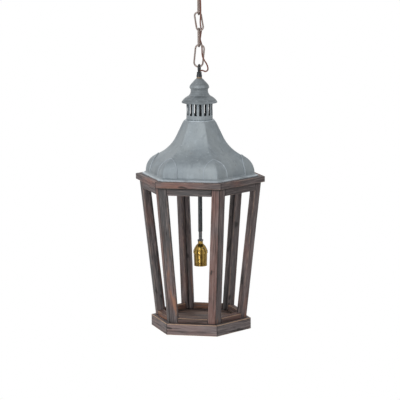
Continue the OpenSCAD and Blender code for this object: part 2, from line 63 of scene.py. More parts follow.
# %% [markdown]
# ## Camera
# The photograph was taken from a long way off, a little above the lantern and to its right. A long lens keeps the
# near and far sides almost the same size, as in the photograph. The angles come from fitting the corners of the
# wooden frame to the picture, so they are set as numbers, and not by eye.

# %% Camera
LOOK_AT = Vector((-0.0004, 0, -0.63244))
DISTANCE, LENS, FILM_WIDTH = 6.84, 216, 36
AZIMUTH, ELEVATION, TILT = 11.88, 9.27, radians(0.40)


def seen_from(azimuth, elevation):
    """The way from the lantern to a camera or a lamp. Azimuth 0 is in front, positive to the right."""
    turn, rise = radians(azimuth), radians(elevation)
    return Vector((sin(turn) * cos(rise), -cos(turn) * cos(rise), sin(rise)))


towards, level = seen_from(AZIMUTH, ELEVATION), seen_from(AZIMUTH + 90, 0)
upright = towards.cross(level)
sideways = level * cos(TILT) - upright * sin(TILT)
upwards = level * sin(TILT) + upright * cos(TILT)


def in_scene(name, data):
    """A new object in the scene."""
    thing = bpy.data.objects.new(name, data)
    bpy.context.scene.collection.objects.link(thing)
    return thing


camera = in_scene("camera", bpy.data.cameras.new("camera"))
camera.data.lens, camera.data.sensor_width = LENS, FILM_WIDTH
camera.matrix_world = Matrix.Translation(LOOK_AT + DISTANCE * towards) @ Matrix(
    (sideways, upwards, towards)).transposed().to_4x4()
bpy.context.scene.camera = camera
bpy.context.scene.view_settings.view_transform = "Standard"
print("camera at", tuple(round(value, 3) for value in camera.location))

# %% [markdown]
# ## Node trees as plain sums
# Materials and Geometry Nodes are both trees of nodes. Wiring them by hand takes a line for every link. A small class
# that stands for one output, with the usual arithmetic signs, lets a tree be written as a sum, such as
# `1 - mask * 0.4`, and one method makes every other kind of node.

# %% Tree and Value


def sign(operation):
    """An arithmetic sign as a Math node, and its reflected form for a value that stands on its right."""
    return (lambda self, other: self.tree.math(operation, self, other),
            lambda self, other: self.tree.math(operation, other, self))


class Value:
    """One output of a node. Arithmetic on it adds Math nodes to its tree."""

    def __init__(self, tree, socket):
        self.tree, self.socket = tree, socket

    def math(self, operation, *others):
        """Any other kind of Math node, with this value first."""
        return self.tree.math(operation, self, *others)

    __add__, __radd__ = sign("ADD")
    __sub__, __rsub__ = sign("SUBTRACT")
    __mul__, __rmul__ = sign("MULTIPLY")
    __truediv__, __rtruediv__ = sign("DIVIDE")


class Tree:
    """A node tree, with one method that adds any node."""

    def __init__(self, tree):
        self.tree = tree
        tree.nodes.clear()

    def math(self, operation, *values):
        return self.node("ShaderNodeMath", dict(enumerate(values)), operation=operation)

    def node(self, kind, sockets=None, output=0, **settings):
        """A new node: its settings, then the values and links of its sockets. Gives back one of its outputs."""
        node = self.tree.nodes.new(kind)
        for name, value in settings.items():
            setattr(node, name, value)
        for key, value in (sockets or {}).items():
            self.feed(node.inputs[key], value)
        return Value(self, node.outputs[output]) if len(node.outputs) else node

    def feed(self, socket, value):
        if isinstance(value, Value):
            self.tree.links.new(value.socket, socket)
        else:
            socket.default_value = value

    def parts(self, vector):
        """The x, y and z of a vector."""
        return [self.node("ShaderNodeSeparateXYZ", {0: vector}, output) for output in range(3)]

    def mix(self, mask, first, second):
        """The first colour where the mask is 0, and the second where it is 1."""
        return self.node("ShaderNodeMix", {0: mask, 6: paint(first), 7: paint(second)}, 2, data_type="RGBA")

    def coats(self, colour, *coats):
        """The colour under coats of others. Each coat is a mask and the colour that it lays on."""
        for mask, coat in coats:
            colour = self.mix(mask, colour, coat)
        return colour

    def diamonds(self, uv_map, u_waves, v_waves):
        """Two sets of waves that cross on a UV map, as a pattern from 0 to 1."""
        u, v, _ = self.parts(self.node("ShaderNodeUVMap", uv_map=uv_map))
        one_way, other_way = (((u * u_waves + v * waves) * (2 * pi)).math("SINE") for waves in (v_waves, -v_waves))
        return one_way * other_way * 0.5 + 0.5

    def between(self, value, low, high):
        """0 below low, 1 above high, and a smooth step from one to the other."""
        return self.node("ShaderNodeMapRange", {"Value": value, "From Min": low, "From Max": high},
                         interpolation_type="SMOOTHSTEP")


def paint(colour):
    """Blender's linear colour for one as a screen shows it, from 0 to 255. A node's output stays as it is."""
    if isinstance(colour, Value):
        return colour
    return tuple(c / 255 / 12.92 if c <= 10 else ((c / 255 + 0.055) / 1.055) ** 2.4 for c in colour) + (1,)


print("a tree has", ", ".join(name for name in vars(Tree) if name[0] != "_"))

# %% [markdown]
# ## Studio
# The photograph is a catalogue picture: white all round, with soft light from the upper left. One large lamp gives
# the roof its lighter left side, a weaker one lifts the right side, one behind draws the edges, and a narrow one in
# front gives the brass its streak. The world is a grey that fills the shadows, and it turns white only where the
# camera, a shiny surface or glass looks at it. The floor stays a real floor under the lantern, so that it keeps the
# shadow, fades into the same white further out, and is clear from below.

# %% Lamps, world and floor
WHITE = (1, 1, 1, 1)
FLOOR_Z, FLOOR_REACH = -1.75, 30
MIDDLE = Vector((0, 0, -0.65))


def soft_lamp(name, azimuth, elevation, distance, size, power, height=None):
    """A lamp that faces the lantern, square unless it has a height."""
    direction = seen_from(azimuth, elevation)
    lamp = in_scene(name, bpy.data.lights.new(name, "AREA"))
    lamp.data.shape = "RECTANGLE"
    lamp.data.size, lamp.data.size_y = size, height or size
    lamp.data.energy = power
    lamp.location = MIDDLE + distance * direction
    lamp.rotation_euler = direction.to_track_quat("Z", "Y").to_euler()


soft_lamp("key_lamp", -25, 36, 3.0, 1.7, 28)
soft_lamp("fill_lamp", 62, 20, 3.2, 1.5, 4)
soft_lamp("rim_lamp", 200, 36, 3.2, 1.4, 12)
soft_lamp("front_lamp", -9, -8, 2.0, 0.25, 8, height=0.8)


def shows_white(tree):
    """1 for the rays that should see the white background, and 0 for those that only carry light."""
    rays = [tree.node("ShaderNodeLightPath", {}, kind) for kind in
            ("Is Camera Ray", "Is Glossy Ray", "Is Transmission Ray")]
    return rays[0].math("MAXIMUM", rays[1]).math("MAXIMUM", rays[2])


world = bpy.data.worlds.new("studio")
world.use_nodes = True
studio = Tree(world.node_tree)
ambient = studio.node("ShaderNodeBackground", {"Color": WHITE, "Strength": 0.44})
backdrop = studio.node("ShaderNodeBackground", {"Color": WHITE, "Strength": 1})
shown = studio.node("ShaderNodeMixShader", {0: shows_white(studio), 1: ambient, 2: backdrop})
studio.node("ShaderNodeOutputWorld", {"Surface": shown})
bpy.context.scene.world = world

floor_mesh = bpy.data.meshes.new("floor")
floor_mesh.from_pydata([(x * FLOOR_REACH, y * FLOOR_REACH, FLOOR_Z) for x, y in ((-1, -1), (1, -1), (1, 1), (-1, 1))],
                       [], [(0, 1, 2, 3)])
floor = in_scene("floor", floor_mesh)
floor_finish = bpy.data.materials.new("pale_floor")
floor_finish.use_nodes = True
pale = Tree(floor_finish.node_tree)
place = pale.node("ShaderNodeTexCoord", {}, "Object")
x, y, _ = pale.parts(place)
far_out = pale.between((x * x + y * y).math("SQRT"), 0.5, 1.6)
solid = pale.node("ShaderNodeBsdfDiffuse", {"Color": paint((244, 244, 243))})
white = pale.node("ShaderNodeEmission", {"Color": WHITE, "Strength": 1})
top_side = pale.node("ShaderNodeMixShader", {0: far_out * shows_white(pale), 1: solid, 2: white})
back_side = pale.node("ShaderNodeNewGeometry", {}, "Backfacing")
clear = pale.node("ShaderNodeBsdfTransparent")
two_sided = pale.node("ShaderNodeMixShader", {0: back_side, 1: top_side, 2: clear})
pale.node("ShaderNodeOutputMaterial", {"Surface": two_sided})
floor_mesh.materials.append(floor_finish)
print("four lamps, a white world and a floor at", FLOOR_Z)

# %% [markdown]
# ## Tools for finishes
# A finish is one Principled shader whose colour, roughness and small relief change over the surface. Noise read at
# different sizes does most of that work: wide noise for weathering, fine noise for dirt and grain. The pattern is
# read in Object coordinates, in metres, or in an attribute that follows the piece, so it stays put when a body moves.

# %% Finish


class Finish(Tree):
    """A material with one Principled shader. Pieces of one kind of finish share a slot, to be recoloured together."""

    slots = {}

    def __init__(self, name, slot=None):
        self.material = bpy.data.materials.new(name)
        self.slots[self.material.name] = slot or name
        self.material.use_nodes = True
        super().__init__(self.material.node_tree)
        self.place = self.node("ShaderNodeTexCoord", {}, "Object")

    def attribute(self, name, output="Fac"):
        return self.node("ShaderNodeAttribute", output=output, attribute_name=name)

    def cloud(self, scale, detail=2, roughness=0.5, place=None, distortion=0):
        """Noise from 0 to 1, of so many blotches to the metre: one number, or one for each direction."""
        place = place or self.place
        if isinstance(scale, tuple):
            place, scale = self.node("ShaderNodeMapping", {"Vector": place, "Scale": scale}), 1
        return self.node("ShaderNodeTexNoise", {
            "Vector": place, "Scale": scale, "Detail": detail, "Roughness": roughness, "Distortion": distortion})

    def patches(self, scale, low, high, **how):
        """A mask of soft-edged patches."""
        return self.between(self.cloud(scale, **how), low, high)

    def finish(self, colour, roughness, metallic=0.0, relief=None, depth=0.0002):
        """Ends the material in its shader, with a relief of so many metres."""
        sockets = {"Base Color": colour, "Roughness": roughness, "Metallic": metallic}
        if relief is not None:
            sockets["Normal"] = self.node("ShaderNodeBump", {"Distance": depth, "Height": relief})
        shader = self.node("ShaderNodeBsdfPrincipled", sockets)
        self.node("ShaderNodeOutputMaterial", {"Surface": shader})
        print("finish", self.material.name)
        return self.material


# %% [markdown]
# ## Tools for pieces
# Most pieces here are a stack of rings: a roof is a stack of hexagons, and a cupola a stack of circles. One function
# joins any stack of rings with quads and closes it on itself, and the outlines are written in millimetres, as in the
# CAD source. Corners are cut back a little before the piece is made, because no real edge is perfectly sharp.

# %% Pieces from rings


def add_piece(name, mesh, body, node, material=None, sharp=38):
    """Puts a finished mesh in the scene, on its body, in place of its CAD node."""
    mesh.name = name
    piece = in_scene(name, mesh)
    mesh.polygons.foreach_set("use_smooth", [True] * len(mesh.polygons))
    mesh.set_sharp_from_angle(angle=radians(sharp))
    if material:
        mesh.materials.clear()
        mesh.materials.append(material)
    if body:
        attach(piece, body)
    # A mesh from a node tree can have an empty material slot before its own
    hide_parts(node)
    return piece


def plain_mesh(piece):
    """The mesh that a piece's modifiers make. The piece itself and its modifiers go."""
    mesh = bpy.data.meshes.new_from_object(piece.evaluated_get(bpy.context.evaluated_depsgraph_get()))
    piece.modifiers.clear()
    bpy.data.objects.remove(piece)
    return mesh


def mesh_from(shape):
    """Turns a bmesh into a mesh with its faces outwards, and frees it."""
    bmesh.ops.recalc_face_normals(shape, faces=shape.faces)
    mesh = bpy.data.meshes.new("piece")
    shape.to_mesh(mesh)
    shape.free()
    return mesh


def stacked(rings):
    """A closed mesh through rings of points, all with the same number of points, given in millimetres."""
    shape = bmesh.new()
    rows = [[shape.verts.new(Vector(point) * MM) for point in ring] for ring in rings]
    for low, high in zip(rows, rows[1:] + rows[:1]):
        for i in range(len(low)):
            j = (i + 1) % len(low)
            shape.faces.new((low[i], low[j], high[j], high[i]))
    bmesh.ops.remove_doubles(shape, verts=shape.verts, dist=1e-6)
    return mesh_from(shape)


def softened(line, cut=0.35, sharp=35):
    """The closed outline with its sharp corners cut back."""
    result = []
    for i, point in enumerate(line):
        here, before, after = Vector(point), Vector(line[i - 1]), Vector(line[(i + 1) % len(line)])
        back, ahead = before - here, after - here
        if min(back.length, ahead.length) < 1e-6:
            continue
        if degrees(pi - back.angle(ahead)) < sharp:
            result.append(here)
            continue
        result.append(here + back.normalized() * min(cut, 0.4 * back.length))
        result.append(here + ahead.normalized() * min(cut, 0.4 * ahead.length))
    return result


def circle(radius, z, segments=96):
    return [(radius * cos(2 * pi * i / segments), radius * sin(2 * pi * i / segments), z) for i in range(segments)]


def turned(line, z=0, cut=0.35, segments=96, bend=None):
    """A turned piece: a closed outline of (radius, height) swept round the Z axis."""
    rings = [circle(max(radius, 0), z + height, segments) for radius, height in softened(line, cut)]
    if bend:
        rings = [[bend(Vector(point)) for point in ring] for ring in rings]
    return stacked(rings)


def heading(angle):
    """The way up a sheet that leans by an angle, as (radius, height): 90 is straight up."""
    return Vector((-cos(radians(angle)), sin(radians(angle))))


def outward(angle):
    """The way out of that sheet, square to it."""
    return Vector((sin(radians(angle)), cos(radians(angle))))


def arc(centre, radius, first, last, steps=24):
    """Points of an arc whose sheet leans from one angle to the other. A negative radius makes it hollow."""
    return [centre + radius * outward(first + (last - first) * i / steps) for i in range(steps + 1)]


def rotation(angle, axis):
    return Matrix.Rotation(radians(angle), 4, axis)


def raised(height):
    return Matrix.Translation((0, 0, height * MM))


def top_of(node):
    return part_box(node)[1].z / MM


def foot_of(node):
    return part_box(node)[0].z / MM


def middle_of(node):
    low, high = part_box(node)
    return (low + high) / 2


print("ring tools ready; the roof stands from", round(foot_of("roof"), 1), "to", round(top_of("roof"), 1), "mm")

# %% [markdown]
# ## Cord
# The cord is a round twin lead with a woven cover, about 4 mm thick. It comes down out of the canopy, is threaded
# through the chain, hangs in a small loop beside the lantern's screw loop and goes into its throat. It could be one
# curve, but it crosses five hinges, and a piece can bend over one hinge only. So the same smooth line is cut at
# places that lie quietly against a link, into five stretches.

# %% The cord's line
CORD_D = 4
CORD_ROUTE = [
    (0, 0, -1), (0, 0, -16), (0, 0, -32), (0.5, -0.9, -38), (2, -3.5, -41), (4, -7, -47),
    (5.8, -8.4, -56), (6.5, -7.5, -68), (6.6, -6, -84), (6.4, -5.4, -98), (5.8, -5.3, -110),
    (5, -5, -120), (4.6, -3, -129), (5, 0.5, -137), (5.4, 4, -145), (5.3, 5.2, -152),
    (4.2, 2.5, -163), (3.2, 0.5, -173), (5, 2.4, -181.5), (6, 5.2, -188), (7.2, 4.9, -196),
    (8.3, 1, -206), (9.6, -3.6, -216), (12, -5.2, -224), (16, -4.8, -232.5), (20.6, -3.4, -240),
    (24, -1.6, -248), (25.2, -0.4, -256), (24.1, 0, -260.1), (21.2, 0, -263), (17.2, 0, -264.1),
    (12.6, 0, -262.6), (10, 0, -261.5), (8, 0, -261.2), (5, 0, -261.8), (2.3, 0, -263.5),
    (0.6, 0, -266.1), (0, 0, -271),
]


def smooth_line(points, steps):
    """A Catmull-Rom curve through the points, as in the CAD source. Point i of the route is point i * steps."""
    line = []
    for i in range(len(points) - 1):
        a, b, c, d = (Vector(points[max(0, min(len(points) - 1, k))]) for k in (i - 1, i, i + 1, i + 2))
        for step in range(steps):
            t = step / steps
            line.append((2 * b + (c - a) * t + (2 * a - 5 * b + 4 * c - d) * t ** 2
                         + (3 * b - a - 3 * c + d) * t ** 3) / 2)
    return line + [Vector(points[-1])]


def length_of(line):
    return sum((b - a).length for a, b in zip(line, line[1:]))


STEPS = 8
cord_line = smooth_line(CORD_ROUTE, STEPS)
print("cord in sight:", round(length_of(cord_line)), "mm")

# %% [markdown]
# ### Woven cover
# The cover is braided from two sets of threads that cross. Two sine waves that run round the cord in opposite
# directions give that diamond pattern. It is read from the tube's own UV map, metres along and turns around, so the
# threads follow the cord through every bend.

# %% Woven cover
braid = Finish("woven_cord_cover", "cord_cover")
weave = braid.diamonds("braid", 420, 6)
cover_colour = braid.coats((98, 56, 45), (weave, (140, 92, 77)),
                           (braid.patches(55, 0.45, 0.75, detail=3) * 0.5, (150, 116, 103)))
cord_cover = braid.finish(cover_colour, 0.85, relief=weave, depth=0.0001)
print("cover woven with 420 crossings to the metre")

# %% [markdown] ### Five stretches A tube follows each part of the line, with a frame of directions that is
# carried along it without twisting.

# %% Stretches of cord


def tube_mesh(line, radius, sides=20):
    """A closed tube along a line in millimetres, with a UV map of metres along it and turns around it."""
    shape = bmesh.new()
    uv = shape.loops.layers.uv.new("braid")
    tangents = [(line[min(i + 1, len(line) - 1)] - line[max(i - 1, 0)]).normalized() for i in range(len(line))]
    along, side, rows = 0, Vector((0, 1, 0)).cross(tangents[0]).normalized(), []
    runs = []
    for i, (point, tangent) in enumerate(zip(line, tangents)):
        side = (side - tangent * side.dot(tangent)).normalized()
        other = tangent.cross(side)
        along += (point - line[i - 1]).length if i else 0
        runs.append(along * MM)
        rows.append([shape.verts.new(MM * (point + radius * (cos(2 * pi * k / sides) * side
                                                             + sin(2 * pi * k / sides) * other)))
                     for k in range(sides)])
    for i in range(len(rows) - 1):
        for k in range(sides):
            j = (k + 1) % sides
            face = shape.faces.new((rows[i][k], rows[i][j], rows[i + 1][j], rows[i + 1][k]))
            for loop, (row, turn_at) in zip(face.loops, ((i, k), (i, k + 1), (i + 1, k + 1), (i + 1, k))):
                loop[uv].uv = (runs[row], turn_at / sides)
    shape.faces.new(rows[0])
    shape.faces.new(rows[-1])
    return mesh_from(shape)


# Where each stretch ends, by its number in the route, the two bodies it joins, and the heights between which it bends
STRETCHES = [
    ("cord_from_canopy", 0, 8, "ceiling_fitting", "chain_first", -45, -76),
    ("cord_by_first_link", 8, 12, "chain_first", "chain_second", -88, -120),
    ("cord_by_second_link", 12, 17, "chain_second", "chain_third", -132, -163),
    ("cord_by_third_link", 17, 23, "chain_third", "chain_lowest", -178, -208),
    ("cord_to_lantern", 23, len(CORD_ROUTE) - 1, "chain_lowest", "lantern", -232, -258),
]
for name, first, last, upper_body, lower_body, start, end in STRETCHES:
    line = cord_line[first * STEPS:last * STEPS + 1]
    piece = add_piece(name, tube_mesh(line, CORD_D / 2), None, "cord", material=cord_cover, sharp=60)
    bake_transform(piece)
    print(name, round(length_of(line)), "mm")

# %% [markdown]
# ## Bare metal
# The metals differ in age. The zinc of the roof is dull and clouded, the spun cupola is darker with fine rings, and
# the inside of all sheet is a darker copy of the zinc, as painted shade. The screw loops are nearly black, the chain
# is a lighter steel with brown in its hollows, nuts and thread are bare or galvanised, and the socket is brass with
# tarnish. Each is built like real wear: a base colour, with thin coats of lighter metal, dirt and rust over it, each
# through its own mask of noise.

# %% Zinc sheet


def zinc_sheet(name, cold, warm, light, dark, metallic=0.3, roughness=0.48, rubbed=(), spun=False):
    """Weathered zinc: slow changes from a colder to a warmer grey, pale bloom, dark runs and a few brown stains.

    Between the heights of each pair in rubbed, in millimetres, lies a painted highlight in patches. Spun zinc has
    fine rings.
    """
    zinc = Finish(name, "weathered_zinc")
    mottle = zinc.cloud(60, detail=3, roughness=0.6)
    runs_down = zinc.cloud((60, 60, 8), detail=3, roughness=0.6)
    scuffs = zinc.patches((150, 150, 52.5), 0.66, 0.74) * zinc.patches(18, 0.42, 0.58)
    stains = zinc.patches(42, 0.62, 0.74, detail=4, roughness=0.7) * zinc.patches(9, 0.48, 0.62)
    coats = [(zinc.patches(14, 0.36, 0.64, detail=3), warm),
             (zinc.between(mottle, 0.5, 0.75) * 0.32, light), (zinc.between(mottle, 0.5, 0.28) * 0.3, dark),
             (zinc.between(runs_down, 0.54, 0.74) * 0.42, dark), (zinc.between(runs_down, 0.44, 0.28) * 0.28, light)]
    if spun:
        rings = zinc.cloud((4, 4, 420), detail=3, roughness=0.6)
        coats += [(zinc.between(rings, 0.5, 0.7) * 0.5, dark), (zinc.between(rings, 0.46, 0.32) * 0.4, light)]
    coats += [(scuffs * 0.7, light), (stains * 0.5, (118, 106, 90))]
    _, _, z = zinc.parts(zinc.place)
    # Painted highlight: pale bands in patches on the roof's lip and just below its top edge
    for low, high in rubbed:
        band = zinc.between(z, (low - 0.5) * MM, low * MM) * zinc.between(z, (high + 1.5) * MM, high * MM)
        coats.append((band * zinc.patches(30, 0.25, 0.5, detail=3) * 0.85, (190, 199, 206)))
    return zinc.finish(zinc.coats(cold, *coats), zinc.patches(60, 0.3, 0.7, detail=3) * 0.14 + roughness, metallic,
                       relief=mottle + zinc.cloud(300) * 0.2, depth=0.00045)


ROOF_FOOT, ROOF_TOP = foot_of("roof"), top_of("roof")
# The bands at the roof's foot and just below its top are painted highlights
ZINC = zinc_sheet("weathered_zinc", (136, 145, 151), (148, 156, 160), (176, 186, 193),
                  (106, 113, 118), rubbed=[(ROOF_FOOT - 1, ROOF_FOOT + 4), (ROOF_TOP - 1.5, ROOF_TOP - 0.4)])
SPUN_ZINC = zinc_sheet("spun_zinc", (114, 121, 125), (134, 141, 145), (176, 185, 192),
                       (78, 82, 84), spun=True)
# Solder of the corner plates: partly its own lighter colour, partly a painted highlight along the beads
SOLDER_AND_HIGHLIGHT = zinc_sheet("bright_zinc_edge", (160, 169, 176), (172, 181, 188), (200, 208, 214),
                         (124, 131, 137), metallic=0.4, roughness=0.42)
# Darker copies of the zinc for insides and undersides: painted shade, not a finish of their own
ZINC_PAINTED_SHADE = zinc_sheet("zinc_in_shade", (50, 53, 56), (60, 63, 66), (74, 78, 81),
                         (38, 40, 42), metallic=0.1, roughness=0.65)
# The roof's underside: a less dark copy of the zinc, also painted shade
ZINC_UNDERSIDE_PAINTED_SHADE = zinc_sheet("zinc_underside", (88, 93, 97), (98, 104, 108), (116, 122, 127),
                            (68, 72, 76), metallic=0.2, roughness=0.55)


def shade_inside(mesh, outside=ZINC, inside=ZINC_PAINTED_SHADE):
    """Gives the faces of a sheet that look at the axis, or straight down, a darker copy of the zinc as painted shade.
    """
    mesh.materials.clear()
    mesh.materials.append(outside)
    mesh.materials.append(inside)
    for face in mesh.polygons:
        out = Vector((face.center.x, face.center.y, 0)).normalized()
        face.material_index = int(face.normal.dot(out) < -0.02 or face.normal.z < -0.95)
    return mesh


# %% [markdown]
# ### Steel
# All the steels, and the washer's dull brass, are one recipe with other colours: a lighter and a darker cloud over
# the base, and rust in patches. The number after the rust's colour says how far it has spread.

# %% Dark steel, chain steel, bare and galvanised steel


def worn_metal(name, base, light, dark, rust, rusty, roughness, metallic, scale=160, depth=0.0002, slot=None):
    """A bare metal with a lighter and a darker cloud, and rust in patches."""
    metal = Finish(name, slot)
    cloud = metal.cloud(scale, detail=4, roughness=0.6)
    rust_patches = metal.patches(scale * 0.45, 0.62 - 0.2 * rusty, 0.75 - 0.2 * rusty, detail=4)
    colour = metal.coats(base, (metal.between(cloud, 0.52, 0.72) * 0.7, light),
                         (metal.between(cloud, 0.48, 0.3) * 0.7, dark),
                         (rust_patches * (0.3 + 0.6 * rusty), rust))
    return metal.finish(colour, metal.patches(scale, 0.3, 0.7) * 0.2 + roughness, metallic,
                        relief=cloud + metal.cloud(900) * 0.4, depth=depth)


RUST = (112, 72, 50)
DARK_STEEL = worn_metal("dark_steel", (52, 55, 58), (78, 83, 86), (34, 36, 38), RUST, 0.06, 0.26, 0.65,
                        depth=0.00007)
CHAIN_STEEL = worn_metal("chain_steel", (140, 127, 121), (176, 166, 161), (96, 82, 76), RUST, 0.25,
                         0.3, 0.7, scale=140)
BARE_STEEL = worn_metal("bare_steel", (96, 97, 99), (138, 139, 141), (56, 57, 59), RUST, 0.1, 0.3, 0.7,
                        slot="galvanised_steel")
GALVANISED = worn_metal("galvanised_steel", (150, 150, 147), (186, 187, 185), (110, 110, 108), RUST, 0.05, 0.36, 0.8)
WASHER_BRASS = worn_metal("rusty_brass", (142, 124, 102), (168, 152, 132), (98, 82, 64),
                          (120, 92, 74), 0.3, 0.42, 0.4, scale=200)

# %% [markdown]
# ### Brass
# Old brass stays shiny where hands rub it and turns brown in between. The shell is also pressed with a pattern of
# diamonds, whose hollows hold dirt, so the same pattern gives both its relief and a dark coat.

# %% Brass of the socket


def brass_finish(name, knurled):
    """Brass with brown tarnish. The knurled one has a fine pressed diamond pattern, read from its own UV map."""
    brass = Finish(name, "brass")
    tarnish = brass.cloud(60)
    colour = brass.coats((164, 136, 70), (brass.between(tarnish, 0.35, 0.75), (118, 92, 46)),
                         (brass.patches(45, 0.56, 0.8) * 0.45, (78, 60, 32)))
    relief = brass.diamonds("shell", 16, 140) if knurled else None
    if knurled:
        colour = brass.coats(colour, (brass.between(relief, 0.5, 0.15) * 0.8, (58, 45, 26)))
    return brass.finish(colour, brass.between(tarnish, 0.4, 0.8) * 0.08 + 0.2, 0.95, relief=relief, depth=0.00004)


BRASS = brass_finish("smooth_brass", False)
KNURLED_BRASS = brass_finish("knurled_brass", True)

# %% [markdown]
# ## Aged wood
# The boards are old, dry softwood: long grey-brown grain, dark cracks, warm patches where the grey has rubbed off,
# and pale worn edges. The grain has to run along each board, whichever way the board points, so each board carries
# its own three directions in the attribute "timber", and the noise is drawn out in those. Three more attributes tell
# the boards apart: "fade" is 0.5 on the paler base and -1 on the floor, "red" is above 1 on the dark lower rails, and
# "wear" is 1 on a free edge and -1 on an edge where another board meets it.

# %% Patterns in the wood
wood = Finish("aged_wood")
timber_place = wood.attribute("timber", "Vector")
fade, red, edge_wear = (wood.attribute(name) for name in ("fade", "red", "wear"))
_, across_grain, _ = wood.parts(timber_place)
_, _, z = wood.parts(wood.place)


def grain(along, across, **how):
    """Noise drawn out along the grain, of so many blotches to the metre along it and across it."""
    return wood.cloud((along, across, across), place=timber_place, **how)


broad = grain(7, 85, detail=5, roughness=0.62, distortion=0.6)
fine = grain(30, 620, detail=4, roughness=0.6)
streaks = grain(11, 290, detail=3, roughness=0.6)
wide = grain(4.05, 9, detail=3)
cracks = wood.between(grain(9, 230), 0.37, 0.31)
knots = wood.between(grain(22, 60, detail=1), 0.7, 0.75)
print("grain in 6 sizes")

# %% [markdown]
# ### Marks of age, and a painted shadow
# A mask is 1 where a mark is and 0 where it isn't. Some come from the board's attributes, such as worn edges and the
# seams between boards, and some from heights on the lantern, such as a painted shadow under the cap boards. The floor
# is one CAD panel, so the joints between its planks are drawn across its grain, one every 32 mm.

# %% Marks of age, of the joints, and a painted shadow
is_base, is_rail, is_floor = wood.between(fade, 0.4, 0.5), wood.between(red, 0.9, 1.1), wood.between(fade, -0.4, -0.6)
low_down = wood.between(z, -0.74, -0.92)
rubbed = wood.between(grain(9, 48, detail=4, roughness=0.65) + low_down * 0.05, 0.58, 0.68)
rubbed = rubbed * wood.between(broad, 0.34, 0.54) * (low_down * 0.5 + 0.2) * (1 - fade * 1.6)
worn_edge = edge_wear * wood.patches(34, 0.42, 0.6, detail=3)
pale_edge = edge_wear * is_base.math("MAXIMUM", is_rail * 0.6)
seam = wood.between(edge_wear, -0.3, -0.7)

FRAME_TOP, PLANK_W = foot_of("cap_board_1"), 0.032
# Painted shadow: a dark band on the frame just below the cap boards, where their overhang casts shade
painted_shadow_under_cap = (wood.between(z, (FRAME_TOP - 8) * MM, (FRAME_TOP - 3.5) * MM)
             * wood.between(z, (FRAME_TOP + 0.3) * MM, (FRAME_TOP - 0.3) * MM))
in_plank = ((across_grain / PLANK_W).math("FRACT") - 0.5).math("ABSOLUTE")
plank_edge = wood.between(in_plank, 0.46, 0.48)
print("the frame's top is at", round(FRAME_TOP, 1), "mm")

# %% [markdown]
# ### Coats of the wood
# The masks are laid over each other in the order in which the real marks came: first the colours of the grain, then
# rubbed and worn places, then knots and cracks, and the dirt in the joints; last comes a painted shadow under the cap
# boards.

# %% Coats of the wood
faded_grain = wood.mix(wood.between(broad, 0.3, 0.65), (102, 90, 89), (146, 133, 133))
floor_grain = wood.mix(wood.between(streaks, 0.4, 0.62), (46, 33, 28), (132, 106, 92))
wood_colour = wood.coats(
    (60, 53, 53),
    (wood.between(broad, 0.3, 0.68), (112, 101, 101)),
    (wood.between(wide, 0.5, 0.66) * (0.3 + red), (124, 86, 76)),
    (wood.between(wide, 0.48, 0.36) * 0.7, (70, 71, 72)),
    (fade * 0.75, faded_grain),
    (wood.between(fine, 0.54, 0.7) * 0.5, (154, 142, 139)),
    (wood.between(fine, 0.47, 0.32) * 0.65, (40, 34, 33)),
    (is_rail * 0.7, (78, 55, 47)),
    (wood.between(streaks, 0.54, 0.66) * 0.4, (150, 134, 129)),
    (wood.between(streaks, 0.46, 0.35) * 0.6, (42, 35, 34)),
    (rubbed, (156, 108, 80)),
    (worn_edge * 0.65, (166, 140, 124)),
    (knots * 0.85, (34, 29, 28)),
    (pale_edge * 0.8, (212, 176, 142)),
    (cracks * 0.8, (36, 31, 31)),
    (seam * 0.85, (30, 26, 25)),
    # painted shadow under the cap boards
    (painted_shadow_under_cap * 0.8, (44, 39, 38)),
    (is_floor * 0.8, floor_grain),
    (is_floor * plank_edge * 0.85, (30, 26, 25)))
WOOD = wood.finish(wood_colour, wood.between(fine, 0.3, 0.7) * 0.2 + 0.6,
                   relief=broad * 0.8 + fine * 0.5 - cracks * 1.2, depth=0.0008)

# %% [markdown]
# ## Boards
# The CAD boards have the right shape and mitres, but their edges are razor sharp. A copy of each is merged into clean
# faces, cut into short lengths along its grain, and bevelled on every edge. Then its points sink by a fraction of a
# millimetre, by smooth noise, so that the edges waver a little and each joint opens as a fine line.

# %% The boards and their tools
WAVER = 0.4 * MM
RAIL_EXTRA = 6
# How far each kind has faded and how red it is, and the same for each board
KINDS = {"cap_board": (0.1, 0.7), "top_rail": (0.05, 0.35), "left_stile": (0.0, 0.3), "right_stile": (0.1, 0.45),
         "bottom_rail": (0.0, 1.1), "base_board": (0.5, 0.4)}
BOARDS = [(f"{kind}_{side}", *marks) for kind, marks in KINDS.items() for side in range(1, 7)]
BOARDS.append(("floor_panel", -1.0, 0.4))


def surfaces_of(nodes):
    """The surfaces of CAD nodes, ready for finding the nearest point on them."""
    points, faces = [], []
    for node in nodes:
        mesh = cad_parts[node].data
        faces += [tuple(len(points) + i for i in face.vertices) for face in mesh.polygons]
        points += [vert.co for vert in mesh.vertices]
    return BVHTree.FromPolygons(points, faces)


def merged_copy(node):
    """A copy of a CAD node, with its loose triangles merged into whole flat faces."""
    shape = bmesh.new()
    shape.from_mesh(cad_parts[node].data)
    bmesh.ops.remove_doubles(shape, verts=shape.verts, dist=2e-5)
    bmesh.ops.dissolve_limit(shape, angle_limit=radians(1), verts=shape.verts, edges=shape.edges)
    return shape


def bevel(shape, angle, width, segments, profile):
    """Bevels every edge that turns by more than the angle, and gives back the new faces."""
    corners = [edge for edge in shape.edges if len(edge.link_faces) == 2 and edge.calc_face_angle() > radians(angle)]
    return bmesh.ops.bevel(shape, geom=corners, offset=width * MM, segments=segments, profile=profile,
                           affect="EDGES", clamp_overlap=True)["faces"]


